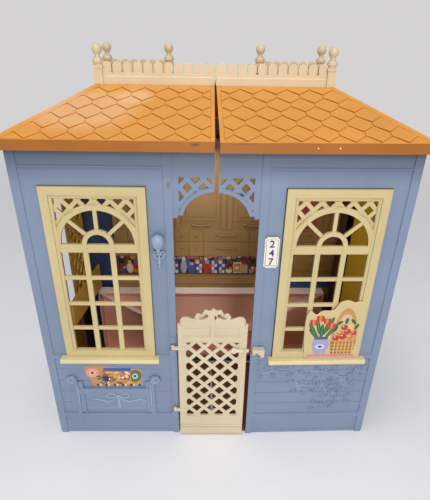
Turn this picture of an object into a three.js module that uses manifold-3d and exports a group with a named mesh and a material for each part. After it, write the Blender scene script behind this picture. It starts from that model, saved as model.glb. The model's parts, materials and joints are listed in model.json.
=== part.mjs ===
// Folding dollhouse: a shallow kitchen section at the back and two front wings that swing open.
// Millimetres, +Z up, +X to the viewer's right, the front faces -Y.
// Depths are written from the front wall's face (y = 0) backwards.
// The last lines centre the house on its footprint.
import * as THREE from 'three';
import { mergeVertices } from 'three/addons/utils/BufferGeometryUtils.js';
import Module from 'manifold-3d';

const wasm = await Module();
wasm.setup();

// Driving dimensions of the house
const houseWidth = 446;
const houseDepth = 198;
const rearDepth = 44;
const wallHeight = 425;
const wallThickness = 3;
const floorThickness = 3;
const wingFloorThickness = 2;
const fit = 0.3;
const centreGap = 1;
const leftAjar = 0.32;
const rightAjar = 1.12;

// Roof and deck
const fasciaHeight = 12;
const frontOverhang = 8;
const sideOverhang = 6.5;
const rearOverhang = 4;
const deckRise = 40.6;
const deckHalfWidth = 146;
const deckFront = 110;
const rearSlopeRun = 18;
const roofSkin = 3;
const ceilingMargin = 2;
const eaveShare = 0.35;

// Doorway, pilasters and mouldings of the front
const doorHalfWidth = 47.5;
const pilasterWidth = 9;
const cornerBoardWidth = 9.5;
const boardRelief = 1.5;
const friezeLedgeHeight = 406;
const ledgeThickness = 2;
const beltHeight = 143;
const beltThickness = 5.5;
const clapboardRows = 5;
const waterTableHeight = 33;
const waterTableThickness = 7;
const waterTableRelief = 2;
const plinthRecess = 0.8;
const plinthMargin = 4;
const grooveWidth = 1.6;
const grooveDepth = 0.8;
const archRadius = 37;
const archCentreHeight = 343;
const archBand = 5;
const archSpringHeight = 348;
const corbelStep = 7;
const spandrelInner = 3;
const spandrelOuter = 40;
const spandrelTop = 396.5;

// Lattice
const latticeBar = 5.1;
const windowLatticeWide = 18.1;
const windowLatticeTall = 19.4;
const windowLatticeDrop = 11.5;
const lintelLatticeWide = 17.9;
const lintelLatticeTall = 20.6;
const lintelLatticeDrop = 1.5;
const gateLatticeWide = 21.3;
const gateLatticeTall = 22;
const gateLatticeDrop = 8.8;
const gateLatticeBar = 5.2;

// Window insert
const windowInner = 76.5;
const windowOuter = 194.5;
const windowBottom = 148;
const windowTop = 385;
const frameProud = 4;
const frameBand = 8.8;
const frameStep = 3.6;
const frameBead = 1.6;
const windowFlangeRim = 4;
const bigArchOuter = 50;
const bigArchBand = 7.2;
const transomBottom = 304;
const transomHeight = 10.5;
const smallArchOuter = 18.6;
const smallArchBand = 5.6;
const muntin = 4.6;
const uprightBar = 6.4;
const spokeAngle = 43.5;
const crossBars = 3;
const bottomRail = 10.5;
const barDepth = 3;
const sillInner = 71;
const sillOuter = 202;
const sillHeight = 7;
const sillProud = 10;

// Railing and finials
const railingFrontMargin = 2;
const railingRearMargin = 1;
const railingThickness = 3;
const railingHeight = 28.4;
const railingBase = 9.4;
const railingLedge = 0.8;
const picketPitch = 12.3;
const picketGap = 2.6;
const picketSlot = 10.4;
const keyhole = 3.4;
const postSize = 10.5;
const postInset = 3.5;
const middlePostX = 60.8;
const postHeight = 22;
const capSize = 12.4;
const capThickness = 3;
const collarRadius = 6.2;
const finialNeck = 3;
const ballRadius = 5.9;
const ballHeight = 39.8;

// Wing hinges
const hingeAxisProud = 8;
const knuckleRadius = 4;
const hingePinRadius = 2;
const pinClearance = 0.08;
const pinHeadRadius = 3;
const pinHeadHeight = 1.6;
const outerKnuckle = 8;
const innerKnuckle = 12;
const knuckleGap = 0.4;
const hingeHeights = [44, 352];
const hingeArm = 3.6;

// Gate and its bolt
const gateHalfWidth = 45.6;
const gateFront = -5.6;
const gateThickness = 4;
const gateBottom = 2.4;
const gateTop = 202;
const gatePostWidth = 6;
const gateStile = 10.2;
const gateLatticeBottom = 39.5;
const gateLatticeTop = 173.4;
const gateLatticeRecess = 1.2;
const gateRailBottom = 176.6;
const gateRailHeight = 6.6;
const gateRailProud = 1.6;
const gateBoardTop = 203.6;
const gateSeamHeight = 195.6;
const gateKickHeights = [16, 22];
const gateGroove = 1.2;
const gateCentreStile = 4.4;
const gatePivotX = -52.4;
const gatePivotY = -5.4;
const gatePinRadius = 1.7;
const gatePinLength = 9;
const gateArmHeights = [162.4, 50.4];
const gateArmHeight = 4.2;
const gateArmWidth = 5;
const socketWidth = 8;
const socketHeight = 10;
const gateStopGap = 4.5;
const gateStopHeight = 8;
const boltBottom = 159.2;
const boltHeight = 4.4;
const boltThickness = 2.4;
const boltRight = 48.4;
const boltTravel = 4;
const boltLobe = 6.2;
const boltLobeHeight = 9.2;
const stapleWidth = 4;
const stapleWall = 1.4;
const keeperLeft = 48.9;
const keeperRight = 64.5;
const keeperWall = 1.5;
const keeperDepth = 11;
const keeperTab = 5;
const keeperTabDrop = 3.5;
const keeperBack = 1.6;
const studRadius = 2;
const studInset = 10;

// Lamp, number plaque, flower panel and bench
const lampX = -65;
const lampHeight = 322.8;
const lampRadius = 7.65;
const lampReach = 8.4;
const lampDrop = 39.2;
const plaqueInner = 55.5;
const plaqueOuter = 73;
const plaqueBottom = 286;
const plaqueTop = 327;
const plaqueThickness = 1.2;
const plaqueScallop = 2.4;
const flowerPanelInner = 116;
const flowerPanelOuter = 191;
const flowerPanelLow = 224.5;
const flowerPanelHigh = 238;
const flowerPanelThickness = 1.6;
const benchInner = 79;
const benchOuter = 195;
const benchArmHeight = 105;
const benchScroll = 7.4;
const benchPost = 5.6;
const benchSeatTop = 89.5;
const benchSeat = 9;
const benchApronBottom = 48;
const benchRelief = 3.2;

// Inside
const kitchenLeftMargin = 60;
const kitchenRightMargin = 13;
const kitchenDepth = 17;
const counterTop = 163;
const cabinetBottom = 203;
const cabinetTop = 398;
const drawerRow = 22.5;
const cabinetRelief = 1.2;
const cabinetGap = 0.6;
const counterThickness = 12;
const kitchenUnitCount = 3;
const narrowShare = 0.36;
const knobRadius = 1.8;
const barHandle = 31;
const panelHalfWidth = 191;
const panelClearance = 2;
const panelThickness = 19;
const panelTop = 144;
const panelPivotHeight = 13;
const panelWall = 2.4;
const panelRib = 2;
const panelPinRadius = 3;
const panelPinLength = 8;
const sideWindowFront = 25;
const sideWindowMargin = 11;
const trellisInset = 21;
const trellisFront = 77;
const trellisMargin = 3;
const trellisTop = 345;
const trellisThickness = 2.6;
const trellisRim = 7;
const sideLatticePitch = 24;
const handrailInset = 38.4;
const handrailThickness = 3;
const handrailDepth = 36;
const handrailFrontTop = 226;
const handrailRearTop = 205;

// Places worked out from the sizes above
const halfWidth = houseWidth / 2;
const innerHalfWidth = halfWidth - wallThickness;
const partingDepth = houseDepth - rearDepth;
const wingRear = partingDepth - fit;
const rearFront = partingDepth + fit;
const deckHeight = wallHeight + fasciaHeight + deckRise;
const deckRear = houseDepth - rearSlopeRun;
const postX = deckHalfWidth - postInset;
const railingFront = deckFront + railingFrontMargin;
const railingRear = deckRear - postSize - railingRearMargin;
const windowCentre = (windowInner + windowOuter) / 2;
const glassInset = frameBand + frameStep + frameBead;
const hingeAxisX = halfWidth + hingeAxisProud;
const kitchenLeft = -innerHalfWidth + kitchenLeftMargin;
const kitchenRight = innerHalfWidth - kitchenRightMargin;
const trellisX = innerHalfWidth - trellisInset;
const handrailX = innerHalfWidth - handrailInset;
const kitchenFront = houseDepth - kitchenDepth;
const panelFront = kitchenFront - panelClearance - panelThickness;
const sideWindowRear = partingDepth - sideWindowMargin;
const trellisRear = partingDepth - trellisMargin;

// Materials
const blue = { color: 0x8495b8, roughness: 0.5, metalness: 0 };
const glossBlue = { color: 0x9db0cf, roughness: 0.3, metalness: 0 };
const orange = { color: 0xe3963f, roughness: 0.5, metalness: 0 };
const cream = { color: 0xeadfbe, roughness: 0.5, metalness: 0 };
const butter = { color: 0xe8d79a, roughness: 0.5, metalness: 0 };
const tan = { color: 0xcdb27c, roughness: 0.6, metalness: 0 };
const pink = { color: 0xe3a79a, roughness: 0.5, metalness: 0 };
const ochre = { color: 0xb28a32, roughness: 0.6, metalness: 0 };
const yellow = { color: 0xd9b83c, roughness: 0.6, metalness: 0 };
const navy = { color: 0x2c3c5e, roughness: 0.5, metalness: 0 };
const brown = { color: 0x4a2d1c, roughness: 0.6, metalness: 0 };
const printed = { color: 0x9a8f7c, roughness: 0.6, metalness: 0 };

// Solids: turning geometry into closed bodies, joining and cutting them

function solid(geometry) {
  const bare = geometry.index ? geometry.toNonIndexed() : geometry.clone();
  bare.deleteAttribute('normal');
  bare.deleteAttribute('uv');
  const merged = mergeVertices(bare, 1e-4);
  return new wasm.Manifold(new wasm.Mesh({
    numProp: 3,
    vertProperties: new Float32Array(merged.attributes.position.array),
    triVerts: new Uint32Array(merged.index.array),
  }));
}

function join(...parts) {
  return parts.flat().reduce((whole, part) => whole.add(part));
}

function cut(whole, ...parts) {
  return parts.flat().reduce((rest, part) => rest.subtract(part), whole);
}

function toGeometry(body) {
  const mesh = body.getMesh();
  const geometry = new THREE.BufferGeometry();
  geometry.setAttribute('position', new THREE.BufferAttribute(new Float32Array(mesh.vertProperties), 3));
  geometry.setIndex(new THREE.BufferAttribute(new Uint32Array(mesh.triVerts), 1));
  geometry.computeVertexNormals();
  return geometry;
}

function named(name, body, material) {
  const mesh = new THREE.Mesh(toGeometry(body), new THREE.MeshStandardMaterial(material));
  mesh.name = name;
  return mesh;
}

function block(x0, x1, y0, y1, z0, z1) {
  const geometry = new THREE.BoxGeometry(Math.abs(x1 - x0), Math.abs(y1 - y0), Math.abs(z1 - z0));
  geometry.translate((x0 + x1) / 2, (y0 + y1) / 2, (z0 + z1) / 2);
  return solid(geometry);
}

function outline(points) {
  return new THREE.Shape(points.map(([a, b]) => new THREE.Vector2(a, b)));
}

// A drawing in x and z, given a thickness from y0 to y1
function frontPlate(shape, y0, y1, curveSegments = 12) {
  const geometry = new THREE.ExtrudeGeometry(shape, { depth: y1 - y0, bevelEnabled: false, curveSegments });
  geometry.rotateX(Math.PI / 2);
  geometry.translate(0, y1, 0);
  return solid(geometry);
}

// A drawing in y and z, given a thickness from x0 to x1
function sidePlate(shape, x0, x1, curveSegments = 12) {
  const geometry = new THREE.ExtrudeGeometry(shape, { depth: x1 - x0, bevelEnabled: false, curveSegments });
  const turn = new THREE.Matrix4().makeBasis(
    new THREE.Vector3(0, 1, 0), new THREE.Vector3(0, 0, 1), new THREE.Vector3(1, 0, 0));
  geometry.applyMatrix4(turn);
  geometry.translate(x0, 0, 0);
  return solid(geometry);
}

function upright(radius, x, y, z0, z1, sides = 16) {
  const geometry = new THREE.CylinderGeometry(radius, radius, z1 - z0, sides);
  geometry.rotateX(Math.PI / 2);
  geometry.translate(x, y, (z0 + z1) / 2);
  return solid(geometry);
}

function facing(radius, x, z, y0, y1, sides = 16) {
  const geometry = new THREE.CylinderGeometry(radius, radius, y1 - y0, sides);
  geometry.translate(x, (y0 + y1) / 2, z);
  return solid(geometry);
}

function crosswise(radius, x0, x1, y, z, sides = 16) {
  const geometry = new THREE.CylinderGeometry(radius, radius, x1 - x0, sides);
  geometry.rotateZ(Math.PI / 2);
  geometry.translate((x0 + x1) / 2, y, z);
  return solid(geometry);
}

function turned(profile, x, y, z, sides = 16) {
  const geometry = new THREE.LatheGeometry(profile.map(([r, h]) => new THREE.Vector2(r, h)), sides);
  geometry.rotateX(Math.PI / 2);
  geometry.translate(x, y, z);
  return solid(geometry);
}

// side is -1 for the left wing and +1 for the right: places are written as distances from the centre
function sided(side, a, b) {
  return side < 0 ? [-b, -a] : [a, b];
}

function sideBlock(side, a, b, y0, y1, z0, z1) {
  const [x0, x1] = sided(side, a, b);
  return block(x0, x1, y0, y1, z0, z1);
}

function sideOutline(side, points) {
  return outline(points.map(([a, b]) => [a * side, b]));
}

// The diamonds between two families of crossing bars, as cutters kept inside a field.
// Diamonds are centred at (x, z) and at every whole pitch and every half pitch both ways from there.
function latticeHoles(field, x, z, wide, tall, bar) {
  const slope = Math.hypot(wide, tall);
  const halfWide = wide / 2 - bar * slope / (2 * tall);
  const halfTall = tall / 2 - bar * slope / (2 * wide);
  const holes = [];
  const firstRow = Math.ceil((field.z0 - halfTall - z) / (tall / 2));
  const lastRow = Math.floor((field.z1 + halfTall - z) / (tall / 2));
  for (let row = firstRow; row <= lastRow; row += 1) {
    const shift = Math.abs(row % 2) * wide / 2;
    const first = Math.ceil((field.x0 - halfWide + 0.5 - x - shift) / wide);
    const last = Math.floor((field.x1 + halfWide - 0.5 - x - shift) / wide);
    for (let column = first; column <= last; column += 1) {
      const a = x + shift + column * wide;
      const b = z + row * tall / 2;
      const diamond = outline([[a - halfWide, b], [a, b - halfTall], [a + halfWide, b], [a, b + halfTall]]);
      holes.push(frontPlate(diamond, field.y0 - 1, field.y1 + 1));
    }
  }
  return join(holes).intersect(block(field.x0, field.x1, field.y0, field.y1, field.z0, field.z1));
}

// Front wall of a wing

function archSector(side, radius) {
  const shape = new THREE.Shape();
  shape.absarc(0, archCentreHeight, radius, 0, Math.PI, false);
  const disc = frontPlate(shape, -boardRelief - 1, wallThickness + 1, 24);
  const otherHalf = sideBlock(-side, 0, radius + 1, -boardRelief - 2, wallThickness + 2, 0, wallHeight);
  return cut(disc, otherHalf);
}

function lintelHoles(side) {
  const [x0, x1] = sided(side, spandrelInner, spandrelOuter);
  const field = { x0, x1, y0: -boardRelief - 1, y1: wallThickness + 1,
    z0: archCentreHeight + archBand, z1: spandrelTop };
  const holes = latticeHoles(field, (x0 + x1) / 2, spandrelTop - lintelLatticeDrop,
    lintelLatticeWide, lintelLatticeTall, latticeBar);
  return holes.subtract(archSector(side, archRadius + archBand));
}

function frontWall(side) {
  const edge = centreGap / 2;
  const stepDown = corbelStep * 0.5;
  const springX = archRadius - 2;
  const wall = frontPlate(sideOutline(side, [
    [doorHalfWidth, 0], [halfWidth, 0], [halfWidth, wallHeight], [edge, wallHeight],
    [edge, archCentreHeight], [springX, archCentreHeight], [springX, archSpringHeight + stepDown],
    [springX + corbelStep, archSpringHeight + stepDown], [springX + corbelStep, archSpringHeight],
    [doorHalfWidth, archSpringHeight]]), 0, wallThickness);
  const opening = archSector(side, archRadius);
  const belowArch = sideBlock(side, 0, springX, -1, wallThickness + 1, archCentreHeight - 1, archCentreHeight);
  const window = sideBlock(side, windowInner + windowFlangeRim, windowOuter - windowFlangeRim, -1,
    wallThickness + 1, windowBottom + windowFlangeRim, windowTop - windowFlangeRim);
  return cut(wall, opening, belowArch, window, lintelHoles(side));
}

function archMoulding(side) {
  const ring = archSector(side, archRadius + archBand * 0.8).subtract(archSector(side, archRadius - 0.01));
  const band = sideBlock(side, centreGap / 2, archRadius + archBand,
    -boardRelief, 0.5, archSpringHeight + 4, spandrelTop);
  return ring.intersect(band);
}

function frontMouldings(side) {
  const inner = doorHalfWidth + pilasterWidth;
  const outer = halfWidth - cornerBoardWidth;
  const pilaster = sideBlock(side, doorHalfWidth, inner, -boardRelief, 1, 0, wallHeight);
  const cornerBoard = sideBlock(side, outer, halfWidth, -boardRelief, 1, 0, wallHeight);
  const frieze = sideBlock(side, inner - 1, outer + 1, -boardRelief, 1, friezeLedgeHeight,
    friezeLedgeHeight + ledgeThickness);
  const belt = cut(
    sideBlock(side, inner - 1, outer + 1, -boardRelief, 1, beltHeight, beltHeight + beltThickness),
    sideBlock(side, sillInner - fit, sillOuter + fit, -boardRelief - 1, 0,
      beltHeight - 1, windowBottom + beltThickness));
  const waterTable = sideBlock(side, inner - 1, outer + 1, -waterTableRelief, 1, waterTableHeight,
    waterTableHeight + waterTableThickness);
  return [pilaster, cornerBoard, frieze, belt, waterTable, archMoulding(side)];
}

function clapboardGrooves(side) {
  const bottom = waterTableHeight + waterTableThickness;
  const pitch = (beltHeight - bottom) / clapboardRows;
  const inner = doorHalfWidth + pilasterWidth;
  const outer = halfWidth - cornerBoardWidth;
  const grooves = [];
  for (let row = 1; row < clapboardRows; row += 1) {
    const z = bottom + row * pitch;
    grooves.push(sideBlock(side, inner, outer, -1, grooveDepth, z - grooveWidth / 2, z + grooveWidth / 2));
  }
  const recess = sideBlock(side, inner + plinthMargin, outer - plinthMargin, -1, plinthRecess, plinthMargin,
    waterTableHeight - plinthMargin / 2);
  return [...grooves, recess];
}

// The side walls carry the same belt, water table and boards as the front

function wallBands() {
  return [[friezeLedgeHeight, ledgeThickness], [beltHeight, beltThickness],
    [waterTableHeight, waterTableThickness]];
}

function sideWall(side, y0, y1, frontBoard, rearBoard) {
  const wall = sideBlock(side, innerHalfWidth, halfWidth, y0, y1, 0, wallHeight);
  const within = innerHalfWidth + 1;
  const out = halfWidth + boardRelief;
  const boards = wallBands().map(([z, height]) => sideBlock(side, within, out, y0, y1, z, z + height));
  if (frontBoard) boards.push(sideBlock(side, within, out, y0, y0 + cornerBoardWidth, 0, wallHeight));
  if (rearBoard) boards.push(sideBlock(side, within, out, y1 - cornerBoardWidth, y1, 0, wallHeight));
  const bottom = waterTableHeight + waterTableThickness;
  const pitch = (beltHeight - bottom) / clapboardRows;
  const grooves = [];
  for (let row = 1; row < clapboardRows; row += 1) {
    const z = bottom + row * pitch;
    grooves.push(sideBlock(side, halfWidth - grooveDepth, halfWidth + grooveDepth, y0 - 1, y1 + 1,
      z - grooveWidth / 2, z + grooveWidth / 2));
  }
  return join(cut(wall, grooves), boards);
}

function sideWindowHole(side) {
  return sideBlock(side, innerHalfWidth - 1, halfWidth + boardRelief + 1, sideWindowFront, sideWindowRear,
    windowBottom + windowFlangeRim, windowTop - windowFlangeRim);
}

function hingeKnuckle(side, z0, z1, y0, y1) {
  const axisX = side * hingeAxisX;
  const barrel = upright(knuckleRadius, axisX, partingDepth, z0, z1);
  const arm = sideBlock(side, halfWidth - 1, hingeAxisX, y0, y1, z0, z1);
  const bore = upright(hingePinRadius + pinClearance, axisX, partingDepth, z0 - 1, z1 + 1);
  return { body: join(barrel, arm), bore };
}

function wingHingeKnuckles(side) {
  return hingeHeights.map((z) => {
    const bottom = z + outerKnuckle + knuckleGap;
    return hingeKnuckle(side, bottom, bottom + innerKnuckle, wingRear - hingeArm, wingRear);
  });
}

function rearHingeKnuckles(side) {
  const second = outerKnuckle + 2 * knuckleGap + innerKnuckle;
  return hingeHeights.flatMap((z) => [z, z + second].map((bottom) => (
    hingeKnuckle(side, bottom, bottom + outerKnuckle, rearFront, rearFront + hingeArm))));
}

function benchSolids() {
  const parts = [];
  for (const x of [benchInner, benchOuter]) {
    const inward = x === benchInner ? 1 : -1;
    const postX = x + inward * (benchScroll - benchPost / 2);
    parts.push(facing(benchScroll, -x, benchArmHeight, -benchRelief, 0.5));
    parts.push(block(-postX - benchPost / 2, -postX + benchPost / 2, -benchRelief, 0.5,
      waterTableHeight, benchArmHeight));
  }
  parts.push(block(-benchOuter + benchScroll, -benchInner - benchScroll, -benchRelief - 0.6, 0.5,
    benchSeatTop - benchSeat, benchSeatTop));
  parts.push(block(-benchOuter + benchScroll, -benchInner - benchScroll, -benchRelief * 0.5, 0.5,
    benchApronBottom, benchSeatTop - benchSeat / 2));
  return parts;
}

function gateSockets() {
  const solids = [];
  const bores = [];
  for (const z of gateArmHeights) {
    const top = z - fit;
    solids.push(block(gatePivotX - socketWidth / 2, gatePivotX + socketWidth / 2,
      gatePivotY - gatePinRadius - 1.6, 1, top - socketHeight, top));
    bores.push(upright(gatePinRadius + pinClearance, gatePivotX, gatePivotY, top - socketHeight - 1, top + 1));
  }
  const stopBottom = gateArmHeights[0] + gateArmHeight + gateStopGap;
  solids.push(block(gatePivotX - socketWidth / 2, gatePivotX + socketWidth / 2 - 1,
    gatePivotY + gatePinRadius, 1, stopBottom, stopBottom + gateStopHeight));
  return { solids, bores };
}

function wingShell(side) {
  const front = join(cut(frontWall(side), clapboardGrooves(side)), frontMouldings(side));
  const flank = sideWall(side, 0, wingRear, true, true);
  const flankOpen = side < 0 ? cut(flank, sideWindowHole(side)) : flank;
  const knuckles = wingHingeKnuckles(side);
  let body = join(front, flankOpen, knuckles.map((knuckle) => knuckle.body));
  if (side < 0) {
    const sockets = gateSockets();
    body = cut(join(body, benchSolids(), sockets.solids), sockets.bores);
  }
  if (side > 0) body = join(body, latchStud());
  return cut(body, knuckles.map((knuckle) => knuckle.bore));
}

function latchStud() {
  return facing(studRadius, keeperStudX(), boltBottom - studRadius - 0.6, gateFront, 0.5, 12);
}

function keeperStudX() {
  return keeperRight - studInset;
}

function wingFloor(side) {
  return sideBlock(side, centreGap / 2, innerHalfWidth - fit, wallThickness + fit, wingRear,
    0, wingFloorThickness);
}

// Roof: hipped at the front and sides, a flat deck on top, cut at the parting plane

function roofSolid(inset) {
  const eaveX = halfWidth + sideOverhang - inset;
  const eaveFront = -frontOverhang + inset;
  const eaveRear = houseDepth + rearOverhang - inset;
  const eaveTop = wallHeight + fasciaHeight - inset * eaveShare;
  const top = deckHeight - inset;
  const corners = [
    [-eaveX, eaveFront, wallHeight], [eaveX, eaveFront, wallHeight],
    [eaveX, eaveRear, wallHeight], [-eaveX, eaveRear, wallHeight],
    [-eaveX, eaveFront, eaveTop], [eaveX, eaveFront, eaveTop],
    [eaveX, eaveRear, eaveTop], [-eaveX, eaveRear, eaveTop],
    [-deckHalfWidth, deckFront, top], [deckHalfWidth, deckFront, top],
    [deckHalfWidth, deckRear, top], [-deckHalfWidth, deckRear, top]];
  const faces = [0, 2, 1, 0, 3, 2];
  for (const ring of [0, 4]) {
    for (let corner = 0; corner < 4; corner += 1) {
      const a = ring + corner;
      const b = ring + (corner + 1) % 4;
      faces.push(a, b, b + 4, a, b + 4, a + 4);
    }
  }
  faces.push(8, 9, 10, 8, 10, 11);
  const geometry = new THREE.BufferGeometry();
  geometry.setAttribute('position', new THREE.Float32BufferAttribute(corners.flat(), 3));
  geometry.setIndex(faces);
  return solid(geometry);
}

function roofShell() {
  const hollow = roofSolid(roofSkin + sideOverhang + wallThickness + ceilingMargin);
  const soffit = block(-houseWidth, houseWidth, -houseDepth, houseDepth * 2,
    wallHeight - roofSkin, wallHeight + roofSkin);
  return cut(roofSolid(0), cut(roofSolid(roofSkin), soffit), hollow);
}

function roofPiece(x0, x1, y0, y1) {
  return roofShell().intersect(block(x0, x1, y0, y1, wallHeight + fit, deckHeight + 1));
}

function wingRoof(side) {
  const [x0, x1] = sided(side, centreGap / 2, houseWidth);
  return roofPiece(x0, x1, -houseDepth, wingRear);
}

function rearRoof() {
  return roofPiece(-houseWidth, houseWidth, rearFront, houseDepth * 2);
}

// Railings with round-topped pickets, keyhole slots and ball finials

function finial(x, y) {
  const base = deckHeight + fit;
  const post = block(x - postSize / 2, x + postSize / 2, y - postSize / 2, y + postSize / 2, base,
    base + postHeight);
  const cap = block(x - capSize / 2, x + capSize / 2, y - capSize / 2, y + capSize / 2,
    base + postHeight - capThickness, base + postHeight);
  const profile = [[0, postHeight - 1], [collarRadius * 0.75, postHeight - 1],
    [collarRadius * 0.75, postHeight + 2], [collarRadius, postHeight + 4],
    [collarRadius, postHeight + 6.5], [finialNeck, postHeight + 9]];
  const steps = 6;
  const start = Math.asin(finialNeck / ballRadius);
  for (let step = 0; step <= steps; step += 1) {
    const angle = start + (Math.PI - start) * step / steps;
    const radius = step === steps ? 0 : ballRadius * Math.sin(angle);
    profile.push([radius, ballHeight - fit - ballRadius * Math.cos(angle)]);
  }
  return [post, cap, turned(profile, x, y, base, 12)];
}

function picketFence(x0, x1, y) {
  const base = deckHeight + fit;
  const top = base + railingHeight;
  const length = x1 - x0;
  const count = Math.max(1, Math.round(length / picketPitch));
  const pitch = length / count;
  const radius = (pitch - picketGap) / 2;
  const shoulder = top - radius;
  const plate = new THREE.Shape();
  plate.moveTo(x0, base);
  plate.lineTo(x1, base);
  plate.lineTo(x1, shoulder);
  for (let picket = count - 1; picket >= 0; picket -= 1) {
    const middle = x0 + (picket + 0.5) * pitch;
    plate.lineTo(middle + radius, shoulder);
    plate.absarc(middle, shoulder, radius, 0, Math.PI, false);
    if (picket > 0) {
      const slot = x0 + picket * pitch;
      plate.lineTo(slot + picketGap / 2, shoulder - picketSlot + keyhole);
      plate.lineTo(slot + keyhole / 2 + picketGap / 4, shoulder - picketSlot + keyhole * 0.4);
      plate.lineTo(slot, shoulder - picketSlot);
      plate.lineTo(slot - keyhole / 2 - picketGap / 4, shoulder - picketSlot + keyhole * 0.4);
      plate.lineTo(slot - picketGap / 2, shoulder - picketSlot + keyhole);
    }
  }
  plate.lineTo(x0, shoulder);
  plate.closePath();
  const fence = frontPlate(plate, y - railingThickness / 2, y + railingThickness / 2, 6);
  const board = block(x0, x1, y - railingThickness / 2 - railingLedge, y + railingThickness / 2,
    base, base + railingBase);
  return [fence, board];
}

function sideRail(side, y0, y1) {
  const base = deckHeight + fit;
  return sideBlock(side, postX - railingThickness / 2, postX + railingThickness / 2, y0, y1, base,
    base + railingBase + railingHeight / 3);
}

function frontRailing(side) {
  const y = railingFront + postSize / 2;
  const [x0, x1] = sided(side, centreGap / 2, postX - postSize / 2 + 1);
  return join(finial(side * postX, y), picketFence(x0, x1, y), sideRail(side, y, wingRear - fit));
}

function rearRailing(side) {
  const y = railingRear + postSize / 2;
  const [x0, x1] = sided(side, middlePostX + postSize / 2 - 1, postX - postSize / 2 + 1);
  return join(finial(side * postX, y), finial(side * middlePostX, y), picketFence(x0, x1, y),
    sideRail(side, rearFront + fit, y));
}

// Window inserts: stepped frame, lattice head, big and small arches, muntins

function halfDisc(radius, y0, y1, legBottom) {
  const centreZ = transomBottom + transomHeight;
  const shape = new THREE.Shape();
  shape.moveTo(windowCentre - radius, legBottom);
  shape.lineTo(windowCentre + radius, legBottom);
  shape.lineTo(windowCentre + radius, centreZ);
  shape.absarc(windowCentre, centreZ, radius, 0, Math.PI, false);
  return frontPlate(shape, y0, y1, 20);
}

function windowArch(outer, band, y0, y1) {
  return cut(halfDisc(outer, y0, y1, transomBottom + 1),
    halfDisc(outer - band, y0 - 1, y1 + 1, transomBottom));
}

function ringFrame(inset, width, y0, y1) {
  const x0 = windowInner + inset;
  const x1 = windowOuter - inset;
  const z0 = windowBottom + Math.min(inset, bottomRail - width);
  const z1 = windowTop - inset;
  return cut(block(x0, x1, y0, y1, z0, z1),
    block(x0 + width, x1 - width, y0 - 1, y1 + 1, z0 + Math.min(width, bottomRail), z1 - width));
}

function windowInsert(side) {
  const back = 0;
  const barFront = -barDepth + 1;
  const rings = [ringFrame(0, frameBand + 1, -frameProud, -fit),
    ringFrame(frameBand, frameStep + 1, -frameProud + 1.2, -fit),
    ringFrame(frameBand + frameStep, frameBead, -frameProud + 2, -fit)];
  const tongue = cut(
    block(windowInner + windowFlangeRim + fit, windowOuter - windowFlangeRim - fit, -1, wallThickness - 1,
      windowBottom + windowFlangeRim + fit, windowTop - windowFlangeRim - fit),
    block(windowInner + glassInset, windowOuter - glassInset, -2, wallThickness,
      windowBottom + bottomRail, windowTop - glassInset));
  const left = windowInner + glassInset - 0.5;
  const right = windowOuter - glassInset + 0.5;
  const glassTop = windowTop - glassInset;
  const transomTop = transomBottom + transomHeight;
  const y1 = back + 1;
  const field = { x0: left + 0.5, x1: right - 0.5, y0: -9, y1: 9, z0: transomTop, z1: glassTop };
  const diamonds = latticeHoles(field, windowCentre, glassTop - windowLatticeDrop,
    windowLatticeWide, windowLatticeTall, latticeBar);
  const head = cut(block(left, right, barFront + 0.6, y1, transomBottom, glassTop + 0.5),
    halfDisc(bigArchOuter - bigArchBand / 2, -9, 9, transomBottom - 1),
    diamonds.subtract(halfDisc(bigArchOuter, -11, 11, transomBottom)));
  const bigArch = windowArch(bigArchOuter, bigArchBand, barFront - 0.6, y1)
    .intersect(block(left, right, barFront - 1, y1 + 1, transomBottom, glassTop));
  const transom = block(left, right, barFront - 0.6, y1, transomBottom, transomTop);
  const smallArch = windowArch(smallArchOuter, smallArchBand, barFront - 1, y1);
  const bars = [];
  const barOffset = smallArchOuter - smallArchBand / 2;
  for (const middle of [windowCentre - barOffset, windowCentre + barOffset]) {
    bars.push(block(middle - uprightBar / 2, middle + uprightBar / 2, barFront - 0.4, y1,
      windowBottom + bottomRail - 1, transomBottom + 1));
  }
  const clear = (transomBottom - windowBottom - bottomRail - crossBars * muntin) / (crossBars + 1);
  for (let row = 1; row <= crossBars; row += 1) {
    const z = windowBottom + bottomRail + row * clear + (row - 1) * muntin;
    bars.push(block(left, right, barFront, y1, z, z + muntin));
  }
  for (const angle of [spokeAngle, 90, 180 - spokeAngle]) bars.push(spoke(angle, barFront, y1));
  const insert = join(rings, tongue, head, bigArch, transom, smallArch, bars);
  return side < 0 ? insert.mirror([1, 0, 0]) : insert;
}

// One bar of the fan between the small arch and the big one
function spoke(angle, y0, y1) {
  const radians = THREE.MathUtils.degToRad(angle);
  const along = new THREE.Vector2(Math.cos(radians), Math.sin(radians));
  const across = new THREE.Vector2(-along.y, along.x).multiplyScalar(muntin / 2);
  const centre = new THREE.Vector2(windowCentre, transomBottom + transomHeight);
  const from = centre.clone().addScaledVector(along, smallArchOuter - 1.5);
  const to = centre.clone().addScaledVector(along, bigArchOuter - bigArchBand + 1.5);
  const shape = new THREE.Shape([from.clone().add(across), from.clone().sub(across),
    to.clone().sub(across), to.clone().add(across)]);
  return frontPlate(shape, y0, y1);
}

function windowSill(side) {
  const top = windowBottom - fit;
  const slab = sideBlock(side, sillInner, sillOuter, -sillProud, -fit, top - sillHeight, top);
  const nose = new THREE.CylinderGeometry(sillHeight / 2, sillHeight / 2, sillOuter - sillInner, 16);
  nose.rotateZ(Math.PI / 2);
  nose.scale(1, 0.5, 1);
  nose.translate(side * (sillInner + sillOuter) / 2, -sillProud, top - sillHeight / 2);
  return join(slab, solid(nose));
}

// Pieces fixed on the front

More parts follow.
